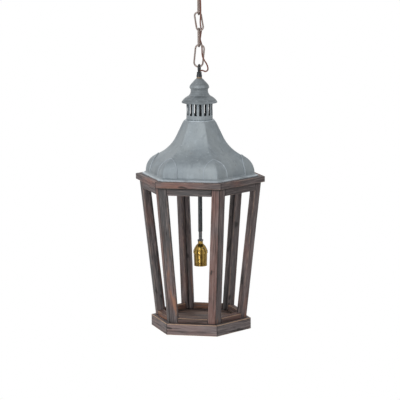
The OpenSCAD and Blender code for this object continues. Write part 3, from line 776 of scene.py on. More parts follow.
def make_taller(shape, extra):
    """Moves the foot of every upright edge further down along it."""
    upright_edges = [edge for edge in shape.edges
                     if abs(edge.verts[0].co.z - edge.verts[1].co.z) > 0.7 * edge.calc_length()]
    for edge in upright_edges:
        top, low = sorted(edge.verts, key=lambda vert: -vert.co.z)
        low.co += (low.co - top.co).normalized() * extra * MM


print(len(BOARDS), "boards to make")

# %% [markdown]
# ### One board
# The attributes are set while the board is still a bmesh. The new faces of the bevel are its edges, and how near the
# next CAD board is says whether such an edge is free and worn, or part of a joint.

# %% Board from a CAD node


def board(node, fade_amount, redness, number, direction=None):
    """A worn board in place of a CAD node. Its grain runs along its longest edge unless a direction is given."""
    others = surfaces_of([other for other, _, _ in BOARDS if other != node])
    shape = merged_copy(node)
    if node.startswith("top_rail"):
        make_taller(shape, RAIL_EXTRA)
    if not direction:
        longest = max(shape.edges, key=lambda edge: edge.calc_length())
        direction, length = (longest.verts[1].co - longest.verts[0].co).normalized(), longest.calc_length()
        lengthwise = [edge for edge in shape.edges if edge.calc_length() > 0.55 * length]
        bmesh.ops.subdivide_edges(shape, edges=lengthwise, cuts=int(length / 0.011), use_grid_fill=True)
    wear = shape.faces.layers.float.new("wear")
    timber = shape.verts.layers.float_vector.new("timber")
    faded = shape.verts.layers.float.new("fade")
    reddened = shape.verts.layers.float.new("red")
    for face in bevel(shape, 15, 1.3, segments=2, profile=0.6):
        beside = others.find_nearest(face.calc_center_median(), 1.6 * MM)[0]
        face[wear] = 1.0 if beside is None else -1.0
    shape.normal_update()
    seed = Vector((number * 0.317, number * 0.173, number * 0.071))
    for vert in shape.verts:
        vert.co -= vert.normal * WAVER * (0.5 + 0.5 * noise.noise(vert.co * 45 + seed))
    centre = sum((vert.co for vert in shape.verts), Vector()) / len(shape.verts)
    across = direction.cross(Vector((centre.x, centre.y, 0.001))).normalized()
    through = direction.cross(across)
    for vert in shape.verts:
        offset = vert.co - centre
        vert[timber] = Vector((offset.dot(direction), offset.dot(across), offset.dot(through))) + seed
        vert[faded], vert[reddened] = fade_amount, redness
    return add_piece(node + "_board", mesh_from(shape), "lantern", node, material=WOOD, sharp=50)


for number, (node, fade_amount, redness) in enumerate(BOARDS):
    board(node, fade_amount, redness, number, direction=Vector((1, 0, 0)) if node == "floor_panel" else None)
print(len(BOARDS), "boards")

# %% [markdown]
# ## Roof
# The roof is bent from zinc sheet: six faces that belly outwards, sweep in and end in a slim neck, with a flared
# foot. It is a stack of hexagons, so it can be built as rings, like a turned piece whose rings have corners. Each
# ring has a narrow flat at every corner, which keeps the ridges crisp but lets them catch light. Soft noise moves the
# faces in and out by half a millimetre, more in the middle than at the ridges, as hammered sheet does.

# %% The roof's outline
SHEET, ROOF_R, ROOF_H = 1, 157, 158
FLARE_W, FLARE_H, LIP_H = 14, 9, 2.5
BELLY_R, SLOPE_L, SWEEP_R = 50, 24, 108
SLOPE_ANGLE, SWEEP_ANGLE = 30, 64
PLATE_T, PLATE_W, PLATE_H, SPRING_H = 1.2, 40, 60, 27
APOTHEM = cos(radians(30))

belly_centre = Vector((ROOF_R - BELLY_R, FLARE_H))
slope_foot = belly_centre + BELLY_R * outward(SLOPE_ANGLE)
slope_top = slope_foot + SLOPE_L * heading(SLOPE_ANGLE)
sweep_centre = slope_top + SWEEP_R * outward(SLOPE_ANGLE)


def ridge_line(inwards, height):
    """The line up a ridge, moved inwards, as points of (corner radius, height)."""
    sweep_end = sweep_centre - (SWEEP_R + inwards) * outward(SWEEP_ANGLE)
    neck = sweep_end.x - (height - sweep_end.y) / tan(radians(SWEEP_ANGLE))
    return (arc(belly_centre, BELLY_R - inwards, 90, SLOPE_ANGLE)
            + arc(sweep_centre, -(SWEEP_R + inwards), SLOPE_ANGLE, SWEEP_ANGLE)
            + [Vector((neck, height))])


def filled(line, step):
    """The open line with extra points, so that no stretch is longer than the step."""
    result = [Vector(line[0])]
    for point in line[1:]:
        point, last = Vector(point), result[-1]
        pieces = max(1, int((point - last).length / step))
        result += [last.lerp(point, (i + 1) / pieces) for i in range(pieces)]
    return result


def at_height(line, height):
    """The radius of a rising line at a height."""
    for low, high in zip(line, line[1:]):
        if low.y <= height <= high.y and high.y > low.y:
            return low.x + (high.x - low.x) * (height - low.y) / (high.y - low.y)
    return line[-1].x if height > line[-1].y else line[0].x


RIDGE_FLAT = 0.9
ROUNDED_H, ROUND_SHARE, CORNER_NOTCH = 9, 0.925, 4
ACROSS = [-1, -0.93, -0.8, -0.6, -0.4, -0.2, 0, 0.2, 0.4, 0.6, 0.8, 0.93, 1]
LIFT = foot_of("roof")


def hexagon(radius, height, round_hole=False):
    """A ring of the roof. A round hole has its points where the hexagon has them, so that the two join cleanly."""
    ring = []
    for side in range(6):
        turn = rotation(60 * side, "Z")
        for share in ACROSS:
            u = share * (radius / 2 - RIDGE_FLAT)
            point = Vector((u, -radius * APOTHEM, 0))
            if round_hole:
                point = point.normalized() * radius
            else:
                rounding = min(1, max(0, (height - ROOF_H + ROUNDED_H) / ROUNDED_H))
                point = point.lerp(point.normalized() * radius * ROUND_SHARE, rounding ** 2)
                if abs(share) == 1 and radius > ROOF_R + 3:
                    point *= 1 - CORNER_NOTCH * (radius - ROOF_R - 3) / (FLARE_W - 3) / radius
                dent = noise.noise(Vector((u * 0.03 + side * 7, height * 0.03, 1.5))) * 0.8
                point.y -= dent * (1 - share ** 4) * min(1, max(0, height - 4) / 12) * min(1, (ROOF_H - height) / 12)
            point.z = LIFT + height
            ring.append(turn @ point)
    return ring


# %% [markdown]
# ### The sheet
# The outer line and the inner line, a sheet's thickness further in, become one closed stack of rings: up the outside,
# round the hole at the top, and down the inside. The underside, which the open frame shows, gets a darker copy of the
# zinc as painted shade.

# %% The roof's sheet
outside = filled([(ROOF_R + FLARE_W, 0.3), (ROOF_R + FLARE_W, LIP_H), (ROOF_R + FLARE_W - 2.4, LIP_H + 1),
                  (ROOF_R + 3.5, FLARE_H - 2.2), (ROOF_R + 0.8, FLARE_H - 0.6)] + ridge_line(0, ROOF_H), 4)
inside = filled([(ROOF_R + FLARE_W - 2 * SHEET, 0), (ROOF_R + FLARE_W - 2 * SHEET, LIP_H - SHEET),
                 (ROOF_R - SHEET, FLARE_H - SHEET)] + ridge_line(SHEET, ROOF_H - SHEET), 6)
HOLE_R = 34
rings = [hexagon(point.x, point.y) for point in outside]
rings += [hexagon(HOLE_R, ROOF_H, True), hexagon(HOLE_R, ROOF_H - SHEET, True)]
rings += [hexagon(point.x, point.y) for point in reversed(inside)]
roof = add_piece("roof_sheet", shade_inside(stacked(rings), inside=ZINC_UNDERSIDE_PAINTED_SHADE), "lantern", "roof", sharp=42)
print("roof sheet:", len(roof.data.polygons), "faces")

# %% [markdown]
# ### Corner plates
# A plate with a pointed-arch outline is soldered over each ridge, from the foot up to a point. It follows the belly,
# so it is a grid of points laid over the ridge: rows go up the roof, and columns from one edge of the plate to the
# other. Solidify then gives it its thickness.

# %% Plate grid
surface = ridge_line(-PLATE_T, ROOF_H)
tip_half = at_height(surface, PLATE_H) / 2
foot_half = ROOF_R / 2 - PLATE_W
arch_run, arch_rise = tip_half - foot_half, PLATE_H - SPRING_H
arch_radius = (arch_run ** 2 + arch_rise ** 2) / (2 * arch_run)


def wing_at(height):
    """How far a plate reaches from its ridge at a height. Its edge is straight, and then a pointed arch."""
    plain_half = foot_half
    if height > SPRING_H:
        plain_half += arch_radius - sqrt(max(0, arch_radius ** 2 - (height - SPRING_H) ** 2))
    return max(1.2, at_height(surface, height) / 2 - plain_half)


def over_ridge(distance, height, lift):
    """A point beside the front right ridge, at a level distance from it: left if negative, right if positive."""
    radius = at_height(surface, height) + lift
    x, y = (distance, 0) if distance < 0 else (distance / 2, distance * APOTHEM)
    return Vector((radius / 2 + x, y - radius * APOTHEM, LIFT + height))


def thickened(mesh, thickness, edge=0):
    """The sheet with a wall on its inner side, and its edges cut back if an edge is given."""
    piece = in_scene("sheet", mesh)
    wall = piece.modifiers.new("wall", "SOLIDIFY")
    wall.thickness, wall.offset = thickness * MM, -1
    if edge:
        edges = piece.modifiers.new("edges", "BEVEL")
        edges.width, edges.segments, edges.limit_method, edges.angle_limit = edge * MM, 1, "ANGLE", radians(60)
    return plain_mesh(piece)


SHARES = [-1, -0.94, -0.8, -0.6, -0.4, -0.2, -0.07]
PLATE_FOOT, ROWS = 6.5, 40
heights = [PLATE_FOOT + (PLATE_H - 0.5 - PLATE_FOOT) * i / ROWS for i in range(ROWS + 1)]
for corner in range(6):
    shape = bmesh.new()
    rows = []
    for height in heights:
        wing = wing_at(height)
        reaches = [share * wing for share in SHARES] + [-min(0.8, 0.05 * wing)]
        reaches += [-reach for reach in reversed(reaches)]
        rows.append([shape.verts.new(over_ridge(reach, height, 0.1) * MM) for reach in reaches])
    for low, high in zip(rows, rows[1:]):
        for i in range(len(low) - 1):
            shape.faces.new((low[i], low[i + 1], high[i + 1], high[i]))
    shape.transform(rotation(60 * corner, "Z"))
    plate = bpy.data.meshes.new(f"corner_plate_{corner + 1}")
    shape.to_mesh(plate)
    shape.free()
    add_piece(plate.name, thickened(plate, 1.5), "lantern", "roof", material=ZINC, sharp=42)
print("6 corner plates, each", round(PLATE_W), "mm wide on either side of its ridge")

# %% [markdown]
# ## Geometry Nodes
# Some pieces repeat a shape or follow a path: solder beads, punched slots, links, rings, threads and beaded rims. A
# Shaper is a Geometry Nodes tree for one kind of them, with its sizes as named inputs. It can be used many times with
# other sizes, and each result is turned into a plain mesh before it becomes a piece.

# %% Geometry Nodes helper


class Shaper(Tree):
    """A Geometry Nodes tree with named inputs. The last of them is always its material."""

    KINDS = {int: "NodeSocketInt", float: "NodeSocketFloat"}

    def __init__(self, name, **inputs):
        super().__init__(bpy.data.node_groups.new(name, "GeometryNodeTree"))
        interface = self.tree.interface
        interface.new_socket("Mesh", in_out="OUTPUT", socket_type="NodeSocketGeometry")
        sockets = {"Path": interface.new_socket("Path", in_out="INPUT", socket_type="NodeSocketGeometry")}
        for label, default in inputs.items():
            sockets[label] = interface.new_socket(label, in_out="INPUT", socket_type=self.KINDS[type(default)])
            sockets[label].default_value = default
        sockets["Material"] = interface.new_socket("Material", in_out="INPUT", socket_type="NodeSocketMaterial")
        self.identifiers = {label: socket.identifier for label, socket in sockets.items()}
        self.entrance = self.tree.nodes.new("NodeGroupInput")

    def given(self, label):
        return Value(self, self.entrance.outputs[label])

    def join(self, *shapes):
        joined = self.tree.nodes.new("GeometryNodeJoinGeometry")
        for shape in shapes:
            self.tree.links.new(shape.socket, joined.inputs[0])
        return Value(self, joined.outputs[0])

    def ends_in(self, shape):
        real = self.node("GeometryNodeRealizeInstances", {"Geometry": shape})
        painted = self.node("GeometryNodeSetMaterial", {"Geometry": real, "Material": self.given("Material")})
        self.node("NodeGroupOutput", {"Mesh": painted})

    def wire(self, path, radius, sides=24, scale=1.0):
        """A round wire along a path, with closed ends."""
        profile = self.node("GeometryNodeCurvePrimitiveCircle", {"Resolution": sides, "Radius": radius})
        return self.node("GeometryNodeCurveToMesh", {"Curve": path, "Profile Curve": profile, "Scale": scale,
                                                         "Fill Caps": True})

    def make(self, name, material, path=None, **sizes):
        """The tree's result with these sizes, as a plain mesh."""
        piece = in_scene(name, path or bpy.data.meshes.new(name))
        modifier = piece.modifiers.new(self.tree.name, "NODES")
        modifier.node_group = self.tree
        for label, value in {**sizes, "Material": material}.items():
            modifier[self.identifiers[label]] = value
        mesh = plain_mesh(piece)
        mesh.name = name
        return mesh


print("a shaper adds", ", ".join(name for name in vars(Shaper) if name.islower() and name[0] != "_"))

# %% [markdown]
# ### Solder
# Solder runs along each plate's edge as an uneven bead. Its path goes up one side of the ridge and down the other,
# and noise, read where the bead lies, makes it thicker and thinner.

# %% Bead along a path
bead_along = Shaper("bead_along_path", Radius=1.25 * MM, Unevenness=0.3, Sides=8)
curve = bead_along.node("GeometryNodeMeshToCurve", {"Mesh": bead_along.given("Path")})
curve = bead_along.node("GeometryNodeResampleCurve", {"Curve": curve, "Count": 60})
lumps = bead_along.node("ShaderNodeTexNoise", {"Scale": 130.0, "Detail": 1.0})
thickness = bead_along.given("Radius") * (1 + (lumps - 0.5) * bead_along.given("Unevenness") * 3)
bead_along.ends_in(bead_along.wire(curve, 1.0, bead_along.given("Sides"), thickness))
print("bead tree with", len(bead_along.tree.nodes), "nodes")

# %% Solder along the plates
for corner in range(6):
    points = [over_ridge(-wing_at(height), height, -0.3) for height in heights]
    points += [over_ridge(wing_at(height), height, -0.3) for height in reversed(heights)]
    turn = rotation(60 * corner, "Z")
    path = bpy.data.meshes.new("solder_path")
    path.from_pydata([(turn @ point) * MM for point in points], [(i, i + 1) for i in range(len(points) - 1)], [])
    # The bead's lighter finish is partly a painted highlight
    mesh = bead_along.make(f"solder_bead_{corner + 1}", SOLDER_AND_HIGHLIGHT, path)
    add_piece(mesh.name, mesh, "lantern", "roof")
print("6 solder beads")

# %% [markdown]
# ## Vent drum
# The drum is a strip of sheet with punched slots, bent into a ring. Geometry Nodes can make it the same way: three
# flat grids, for the band below the slots, one bar between two slots that is repeated along a line, and the band
# above. Their points meet, so they weld into one sheet, and the sheet is then rolled up by turning its length into
# an angle. The bars are nudged a little by noise, because the real ones were bent by hand.

# %% Punched and rolled sheet
drum = Shaper("vent_drum", Radius=37.4 * MM, Bars=16, Band=13.5 * MM, Slot=33 * MM, Crown=2.9 * MM, Shift=0.72)
around_all = drum.given("Radius") * (2 * pi)
pitch = around_all / drum.given("Bars")


def strip(width, height, columns, rows, x, y):
    grid = drum.node("GeometryNodeMeshGrid", {"Size X": width, "Size Y": height, "Vertices X": columns,
                                                  "Vertices Y": rows})
    place = drum.node("ShaderNodeCombineXYZ", {0: x, 1: y, 2: 0.0})
    return drum.node("GeometryNodeTransform", {"Geometry": grid, "Translation": place})


columns = drum.given("Bars") * 6 + 1
band = strip(around_all, drum.given("Band"), columns, 5, around_all * 0.5, drum.given("Band") * 0.5)
bar = strip(pitch * 0.5, drum.given("Slot"), 4, 12, pitch * 0.25, drum.given("Band") + drum.given("Slot") * 0.5)
crown_y = drum.given("Band") + drum.given("Slot") + drum.given("Crown") * 0.5
crown = strip(around_all, drum.given("Crown"), columns, 3, around_all * 0.5, crown_y)
step = drum.node("ShaderNodeCombineXYZ", {0: pitch, 1: 0.0, 2: 0.0})
line_of_bars = drum.node("GeometryNodeMeshLine", {"Count": drum.given("Bars"), "Offset": step})
bars = drum.node("GeometryNodeInstanceOnPoints", {"Points": line_of_bars, "Instance": bar})
bars = drum.node("GeometryNodeRealizeInstances", {"Geometry": bars})
flat_sheet = drum.node("GeometryNodeMergeByDistance", {"Geometry": drum.join(band, bars, crown),
                                                           "Distance": 0.05 * MM})
x, y, _ = drum.parts(drum.node("GeometryNodeInputPosition"))
wave = drum.node("ShaderNodeTexNoise", {"Scale": 60.0, "Detail": 0.0}) - 0.5
height_in_slot = (y - drum.given("Band")) / drum.given("Slot")
bow = (height_in_slot * (1 - height_in_slot)).math("MAXIMUM", 0.0) * 4
radius = drum.given("Radius") + bow * wave * (2.4 * MM) - 0.3 * MM * bow
angle = x / drum.given("Radius") + (drum.given("Shift") - 0.75) * (2 * pi) / drum.given("Bars")
rolled = drum.node("ShaderNodeCombineXYZ", {0: radius * angle.math("COSINE"),
                                                1: radius * angle.math("SINE"), 2: y})
ring_sheet = drum.node("GeometryNodeSetPosition", {"Geometry": flat_sheet, "Position": rolled})
drum.ends_in(drum.node("GeometryNodeMergeByDistance", {"Geometry": ring_sheet, "Distance": 0.02 * MM}))

drum_mesh = drum.make("vent_drum_sheet", ZINC)
drum_mesh.transform(raised(foot_of("vent_drum")))
# The drum's inside gets the darker zinc as painted shade
add_piece("vent_drum_sheet", shade_inside(thickened(drum_mesh, 1, edge=0.25)), "lantern", "vent_drum", sharp=50)
print("drum with", len(drum_mesh.polygons), "faces before it has a wall")

# %% [markdown]
# ## Cupola
# The cupola is spun from one disc of zinc, so it is a turned piece: a brim, a rounded shoulder, a cove, a neck, a
# bead and a dome. Its outline is written with the same arcs as in the CAD source, in finer steps. It has had knocks
# over the years, so soft noise dents it by up to half a millimetre.

# %% The cupola's outline
BRIM_R, BRIM_H, SHOULDER_R, CONE_L, COVE_R = 50.7, 2, 41, 3.3, 16
NECK_H, BEAD_R, BEAD_H, DOME_R, CUPOLA_TOP_R = 4.5, 28.3, 5.5, 18, 8.8
BRIM_ANGLE, CONE_ANGLE, DOME_FOOT, DOME_TOP = 60, 30, 85, 46.5
PIPE_R = 5.05


def cupola_line(inwards):
    shoulder = Vector((BRIM_R, BRIM_H)) - SHOULDER_R * outward(BRIM_ANGLE)
    cone_top = shoulder + SHOULDER_R * outward(CONE_ANGLE) + CONE_L * heading(CONE_ANGLE)
    cove = cone_top + COVE_R * outward(CONE_ANGLE)
    neck = cove - Vector((COVE_R, 0))
    bead = Vector((BEAD_R, neck.y + NECK_H + BEAD_H))
    dome = bead - DOME_R * outward(DOME_FOOT)
    dome_top = dome + DOME_R * outward(DOME_TOP)
    rise = (dome_top.x - CUPOLA_TOP_R) * tan(radians(DOME_TOP))
    return ([Vector((BRIM_R - inwards, 0))]
            + arc(shoulder, SHOULDER_R - inwards, BRIM_ANGLE, CONE_ANGLE)
            + arc(cove, -(COVE_R + inwards), CONE_ANGLE, 90)
            + [neck + Vector((-inwards, NECK_H * 0.5)), neck + Vector((-inwards, NECK_H)),
               neck + Vector((0.5 - inwards, NECK_H + 1.6)), bead - Vector((0.8 + inwards, 0.9))]
            + arc(dome, DOME_R - inwards, DOME_FOOT, DOME_TOP)
            + [Vector((CUPOLA_TOP_R - inwards / 2, dome_top.y + rise - inwards))])


def knocked(point):
    """The point, moved in or out by soft noise."""
    push = noise.noise(point * 0.06) * 0.45
    return point + Vector((point.x, point.y, 0)).normalized() * (push - 0.2)


BORE_R = PIPE_R + 0.1
outer, inner = cupola_line(0), cupola_line(SHEET)
outline = [(BORE_R, outer[-1].y), *reversed(filled(outer, 2.5)), *filled(inner, 4), (BORE_R, inner[-1].y)]
brim_foot = top_of("cupola") - outer[-1].y
# The cupola's inside gets the darker zinc as painted shade
add_piece("cupola_shell", shade_inside(turned(outline, brim_foot, cut=0.3, segments=128, bend=knocked), SPUN_ZINC),
          "lantern", "cupola", sharp=44)
# The ring plate inside the brim gets the same painted-shade zinc
rim_plate = [(HOLE_R, 1), (BRIM_R - SHEET, 1), (BRIM_R - SHEET, 2), (HOLE_R, 2)]
add_piece("cupola_plate", turned(rim_plate, brim_foot, cut=0.2), "lantern", "cupola", material=ZINC_PAINTED_SHADE)
print("cupola brim at", round(brim_foot, 2), "mm, CAD", round(foot_of("cupola"), 2))

# %% [markdown]
# ## Chain
# A link is a round wire bent into an oval. In Geometry Nodes an oval is a circle whose upper half is lifted and whose
# lower half is lowered by half the straight length, with a small circle swept along it. The same tree, with other
# sizes, gives all four links.

# %% Oval link
link = Shaper("oval_link", Length=56 * MM, Width=24 * MM, Wire=2.4 * MM)
bend = link.given("Width") * 0.5 - link.given("Wire")
circle_path = link.node("GeometryNodeCurvePrimitiveCircle", {"Resolution": 128, "Radius": bend})
x, y, _ = link.parts(link.node("GeometryNodeInputPosition"))
stretch = y.math("SIGN") * (link.given("Length") - link.given("Width")) * 0.5
oval = link.node("GeometryNodeSetPosition", {
    "Geometry": circle_path, "Position": link.node("ShaderNodeCombineXYZ", {0: x, 1: 0.0, 2: y + stretch})})
link.ends_in(link.wire(oval, link.given("Wire")))

WIRE_R = 2.4
LINKS = [
    ("first_link", "chain_first", 56, 24, rotation(90, "Z")),
    ("second_link", "chain_second", 56, 24, rotation(-9, "Y")),
    ("third_link", "chain_third", 56, 24, rotation(90, "Z")),
    ("lowest_link", "chain_lowest", 68, 30, rotation(6, "Y")),
]
for node, body, length, width, turn in LINKS:
    mesh = link.make(node + "_wire", CHAIN_STEEL, Length=length * MM, Width=width * MM, Wire=WIRE_R * MM)
    mesh.transform(Matrix.Translation(middle_of(node)) @ turn)
    add_piece(mesh.name, mesh, body, node, sharp=60)
print("4 links")

# %% [markdown]
# ## Screw loops
# A screw loop is a ring on a small bell-shaped collar that screws onto the end of a pipe. The cord comes out through
# the middle of the collar, so the ring is open at its foot: an arc of wire whose two ends stand in the collar. The
# collar is a turned piece, and the ring is the same wire sweep as a link, along an arc.

# %% Ring and collar
ring_arc = Shaper("open_ring", Radius=10.25 * MM, Wire=2.75 * MM, Gap=1.0)
arc_path = ring_arc.node("GeometryNodeCurveArc", {
    "Resolution": 72, "Radius": ring_arc.given("Radius"), "Start Angle": ring_arc.given("Gap") * 0.5 - pi / 2,
    "Sweep Angle": 2 * pi - ring_arc.given("Gap")})
ring_arc.ends_in(ring_arc.wire(arc_path, ring_arc.given("Wire")))

COLLAR_H, RING_RISE, SCREW = 14, 9.4, 8
collar_line = [(BORE_R, 0), (8.1, 0), (8.1, 3), (7.7, 3.6), (7.3, 6), (6.9, 9), (6.7, 12), (6.3, COLLAR_H),
               (4.3, COLLAR_H), (2.75, 9), (2.75, SCREW), (BORE_R, SCREW)]


def screw_loop(node, body, placed):
    """A collar and its ring, built standing at the origin, and then placed."""
    collar = turned(collar_line, cut=0.3, segments=64)
    wire = ring_arc.make(node + "_ring", DARK_STEEL)
    wire.transform(raised(COLLAR_H + RING_RISE) @ rotation(90, "Z") @ rotation(90, "X"))
    for name, mesh in ((node + "_collar", collar), (wire.name, wire)):
        mesh.transform(placed)
        add_piece(name, mesh, body, node, material=DARK_STEEL, sharp=50)


screw_loop("lantern_loop", "lantern", raised(foot_of("lantern_loop")))
screw_loop("canopy_loop", "ceiling_fitting", raised(top_of("canopy_loop")) @ rotation(180, "X") @ rotation(90, "Z"))
washer_line = [(BORE_R, 0), (7.9, 0), (7.9, 2.4), (7.4, 3.4), (7.0, 4.5), (BORE_R, 4.5)]
add_piece("washer_ring", turned(washer_line, foot_of("top_washer"), cut=0.3, segments=64), "lantern", "top_washer",
          material=WASHER_BRASS)
print("2 screw loops and a washer")

# %% [markdown]
# ## Pipe and nuts
# The pipe is black where it shows in the lantern, with a bare thread below, which the socket's nut holds. A thread is
# a spiral ridge: a spiral curve with a small pointed profile swept along it, over a plain core. The lock nuts are
# stacks of rings again: each is a circle, cut off by six flats where it reaches past them.

# %% Pipe with its thread
thread = Shaper("thread", Radius=4.75 * MM, Pitch=1.06 * MM, Turns=33)
spiral = thread.node("GeometryNodeCurveSpiral", {
    "Resolution": 24, "Rotations": thread.given("Turns"), "Start Radius": thread.given("Radius"),
    "End Radius": thread.given("Radius"), "Height": thread.given("Pitch") * thread.given("Turns")})
thread.ends_in(thread.wire(spiral, 0.3 * MM, sides=4))
pipe_foot, pipe_top = foot_of("lamp_pipe"), top_of("lamp_pipe")
PIPE_BORE, SLEEVE_R, THREAD_L, NUT_H = 3.6, 6.1, 35, 5
smooth_foot = pipe_foot + THREAD_L
sleeve_top = top_of("cupola") - SHEET - NUT_H - 1
pipe_line = [(PIPE_BORE, smooth_foot), (SLEEVE_R, smooth_foot), (SLEEVE_R, sleeve_top), (PIPE_R, sleeve_top),
             (PIPE_R, pipe_top), (PIPE_BORE, pipe_top)]
bare_line = [(PIPE_BORE, pipe_foot), (4.75, pipe_foot), (4.75, smooth_foot), (PIPE_BORE, smooth_foot)]
add_piece("bare_pipe_end", turned(bare_line, cut=0.2, segments=48), "lantern", "lamp_pipe", material=BARE_STEEL)
add_piece("black_pipe", turned(pipe_line, cut=0.3, segments=48), "lantern", "lamp_pipe", material=DARK_STEEL)
ridge = thread.make("pipe_thread", BARE_STEEL)
ridge.transform(raised(pipe_foot + 0.2))
add_piece("pipe_thread", ridge, "lantern", "lamp_pipe", sharp=30)


NUT_R, NUT_FACE_R, NUT_EDGE = 8.6, 7.4, 0.7


def nut_ring(radius, height, points=72):
    """A circle, cut off by the nut's six flats where it reaches past them."""
    ring = []
    for i in range(points):
        turn = 2 * pi * i / points
        reach = min(radius, NUT_R * APOTHEM / cos((turn + pi / 6) % (pi / 3) - pi / 6))
        ring.append((reach * cos(turn), reach * sin(turn), height))
    return ring


def lock_nut(name, foot, body, node, material=BARE_STEEL):
    """A hexagonal lock nut with chamfered faces, 17.2 mm over its corners."""
    rings = [nut_ring(radius, foot + height) for radius, height in (
        (BORE_R, 0), (NUT_FACE_R, 0), (NUT_R, NUT_EDGE), (NUT_R, NUT_H - NUT_EDGE), (NUT_FACE_R, NUT_H),
        (5.7, NUT_H), (BORE_R, NUT_H - 0.5))]
    add_piece(name, stacked(rings), body, node, material=material, sharp=32)


socket_top = top_of("socket_cap")
lock_nut("socket_nut", socket_top, "lantern", "pipe_nuts")
lock_nut("cupola_nut", top_of("cupola") - SHEET - NUT_H, "lantern", "pipe_nuts")
lock_nut("canopy_nut", foot_of("strap_nut"), "ceiling_fitting", "strap_nut", GALVANISED)
nipple_line = [(PIPE_BORE, foot_of("hollow_nipple")), (PIPE_R, foot_of("hollow_nipple")),
               (PIPE_R, top_of("hollow_nipple")), (PIPE_BORE, top_of("hollow_nipple"))]
add_piece("nipple_tube", turned(nipple_line, segments=48), "ceiling_fitting", "hollow_nipple", material=GALVANISED)
print("pipe, thread, nipple and 3 nuts")

# %% [markdown]
# ## Lamp socket
# The socket is a pressed brass cap with a domed shoulder, and a tapering shell with an embossed pattern and a beaded
# rim. Light makes the pattern more than colour does, so it is relief, read from a UV map that runs around the shell
# and up it. Both outlines go up the outside and come back a sheet's thickness further in.

# %% Brass cap and shell
NECK_R, NECK_L, CAP_R, CAP_L, RIM_R, SOCKET_L, BRASS_T = 7.2, 7, 20.6, 29, 18.3, 71, 0.7


def brass_piece(name, line, node, material):
    """A turned piece of the socket, with a UV map of turns around it and metres up it."""
    mesh = turned(line, socket_top, cut=0.25)
    uv = mesh.uv_layers.new(name="shell").data
    for face in mesh.polygons:
        corners = [mesh.vertices[mesh.loops[i].vertex_index].co for i in face.loop_indices]
        turns = [atan2(corner.y, corner.x) / (2 * pi) for corner in corners]
        over_seam = max(turns) - min(turns) > 0.5
        for i, corner, turn_at in zip(face.loop_indices, corners, turns):
            uv[i].uv = (turn_at + 1 if over_seam and turn_at < 0 else turn_at, corner.z)
    return add_piece(name, mesh, "lantern", node, material=material, sharp=44)


DOME_ANGLE = 38
CAP_SHOULDER_R = (CAP_R - NECK_R) / (1 - sin(radians(DOME_ANGLE)))
shoulder_centre = Vector((CAP_R - CAP_SHOULDER_R, -NECK_L - CAP_SHOULDER_R * cos(radians(DOME_ANGLE))))
cap_outer = [(NECK_R, 0), (NECK_R, -NECK_L)]
cap_outer += arc(shoulder_centre, CAP_SHOULDER_R, DOME_ANGLE, 90)[1:]
cap_outer += [(CAP_R, -CAP_L + 1.6), (CAP_R, -CAP_L)]
cap_inner = [(CAP_R - BRASS_T, -CAP_L)]
cap_inner += arc(shoulder_centre, CAP_SHOULDER_R - BRASS_T, 90, DOME_ANGLE)
cap_inner += [(NECK_R - 0.3, -NECK_L - BRASS_T), (BORE_R, -NECK_L - BRASS_T), (BORE_R, 0)]
brass_piece("socket_cap_brass", cap_outer + cap_inner, "socket_cap", BRASS)

GROOVES = (-63.5, -67.2)
top_r = CAP_R - BRASS_T - 0.3
shell_line = [(top_r - BRASS_T, -24), (top_r, -24), (top_r, -CAP_L)]
for share in (0.1, 0.2, 0.3, 0.4, 0.5, 0.6, 0.7, 0.8):
    shell_line.append((top_r + (RIM_R - top_r) * share, -CAP_L - (SOCKET_L - CAP_L) * share))
for groove in GROOVES:
    shell_line += [(RIM_R + 0.1, groove + 0.9), (RIM_R - 0.25, groove + 0.45), (RIM_R - 0.25, groove - 0.45),
                   (RIM_R + 0.1, groove - 0.9)]
shell_line += [(RIM_R, -69.8), (RIM_R + 0.25, -70.4), (RIM_R, -71), (RIM_R - 1, -71), (RIM_R - 1.2, -70.2),
               (RIM_R - BRASS_T - 0.1, -69.4), (RIM_R - BRASS_T, -68), (top_r - BRASS_T, -CAP_L)]
brass_piece("socket_shell_brass", shell_line, "socket_shell", KNURLED_BRASS)
print("cap with a shoulder of", round(CAP_SHOULDER_R, 1), "mm, and its shell")

# %% [markdown]
# ### Beaded rim
# Two shallow grooves run round the foot of the shell, and each holds a line of tiny beads. They are repeated shapes,
# so Geometry Nodes puts a small sphere on every point of a circle. Each bead has only a few dozen faces.

# %% Beads round the rim
beads = Shaper("ring_of_beads", Radius=18.1 * MM, Count=84, Bead=0.48 * MM)
spots = beads.node("GeometryNodeMeshCircle", {"Vertices": beads.given("Count"), "Radius": beads.given("Radius")})
ball = beads.node("GeometryNodeMeshIcoSphere", {"Radius": beads.given("Bead"), "Subdivisions": 2})
beads.ends_in(beads.node("GeometryNodeInstanceOnPoints", {"Points": spots, "Instance": ball}))
for number, height in enumerate(GROOVES):
    ring_of_beads = beads.make(f"rim_beads_{number + 1}", BRASS)
    ring_of_beads.transform(raised(socket_top + height))
    add_piece(ring_of_beads.name, ring_of_beads, "lantern", "socket_shell", sharp=70)
print("84 beads in each of the 2 grooves of the rim")

# %% [markdown]
# ### Small fixings of the socket
# A screw through the cap holds it to the shell, and a pressed eyelet sits lower down. Both are turned shapes that lie
# on their side, so they are built standing up and then swung out to their place on the brass.

# %% Cap screw and eyelet


def fixing(name, line, node, material, bearing, height, radius, lean, cut=0.1, segments=24):
    """A small turned part on the socket: at a bearing from the front, to the right, and leaning back by an angle."""
    mesh = turned(line, cut=cut, segments=segments)
    mesh.transform(rotation(bearing, "Z") @ Matrix.Translation((0, -radius * MM, (socket_top + height) * MM))
                   @ rotation(90 + lean, "X"))
    add_piece(name, mesh, "lantern", node, material=material)


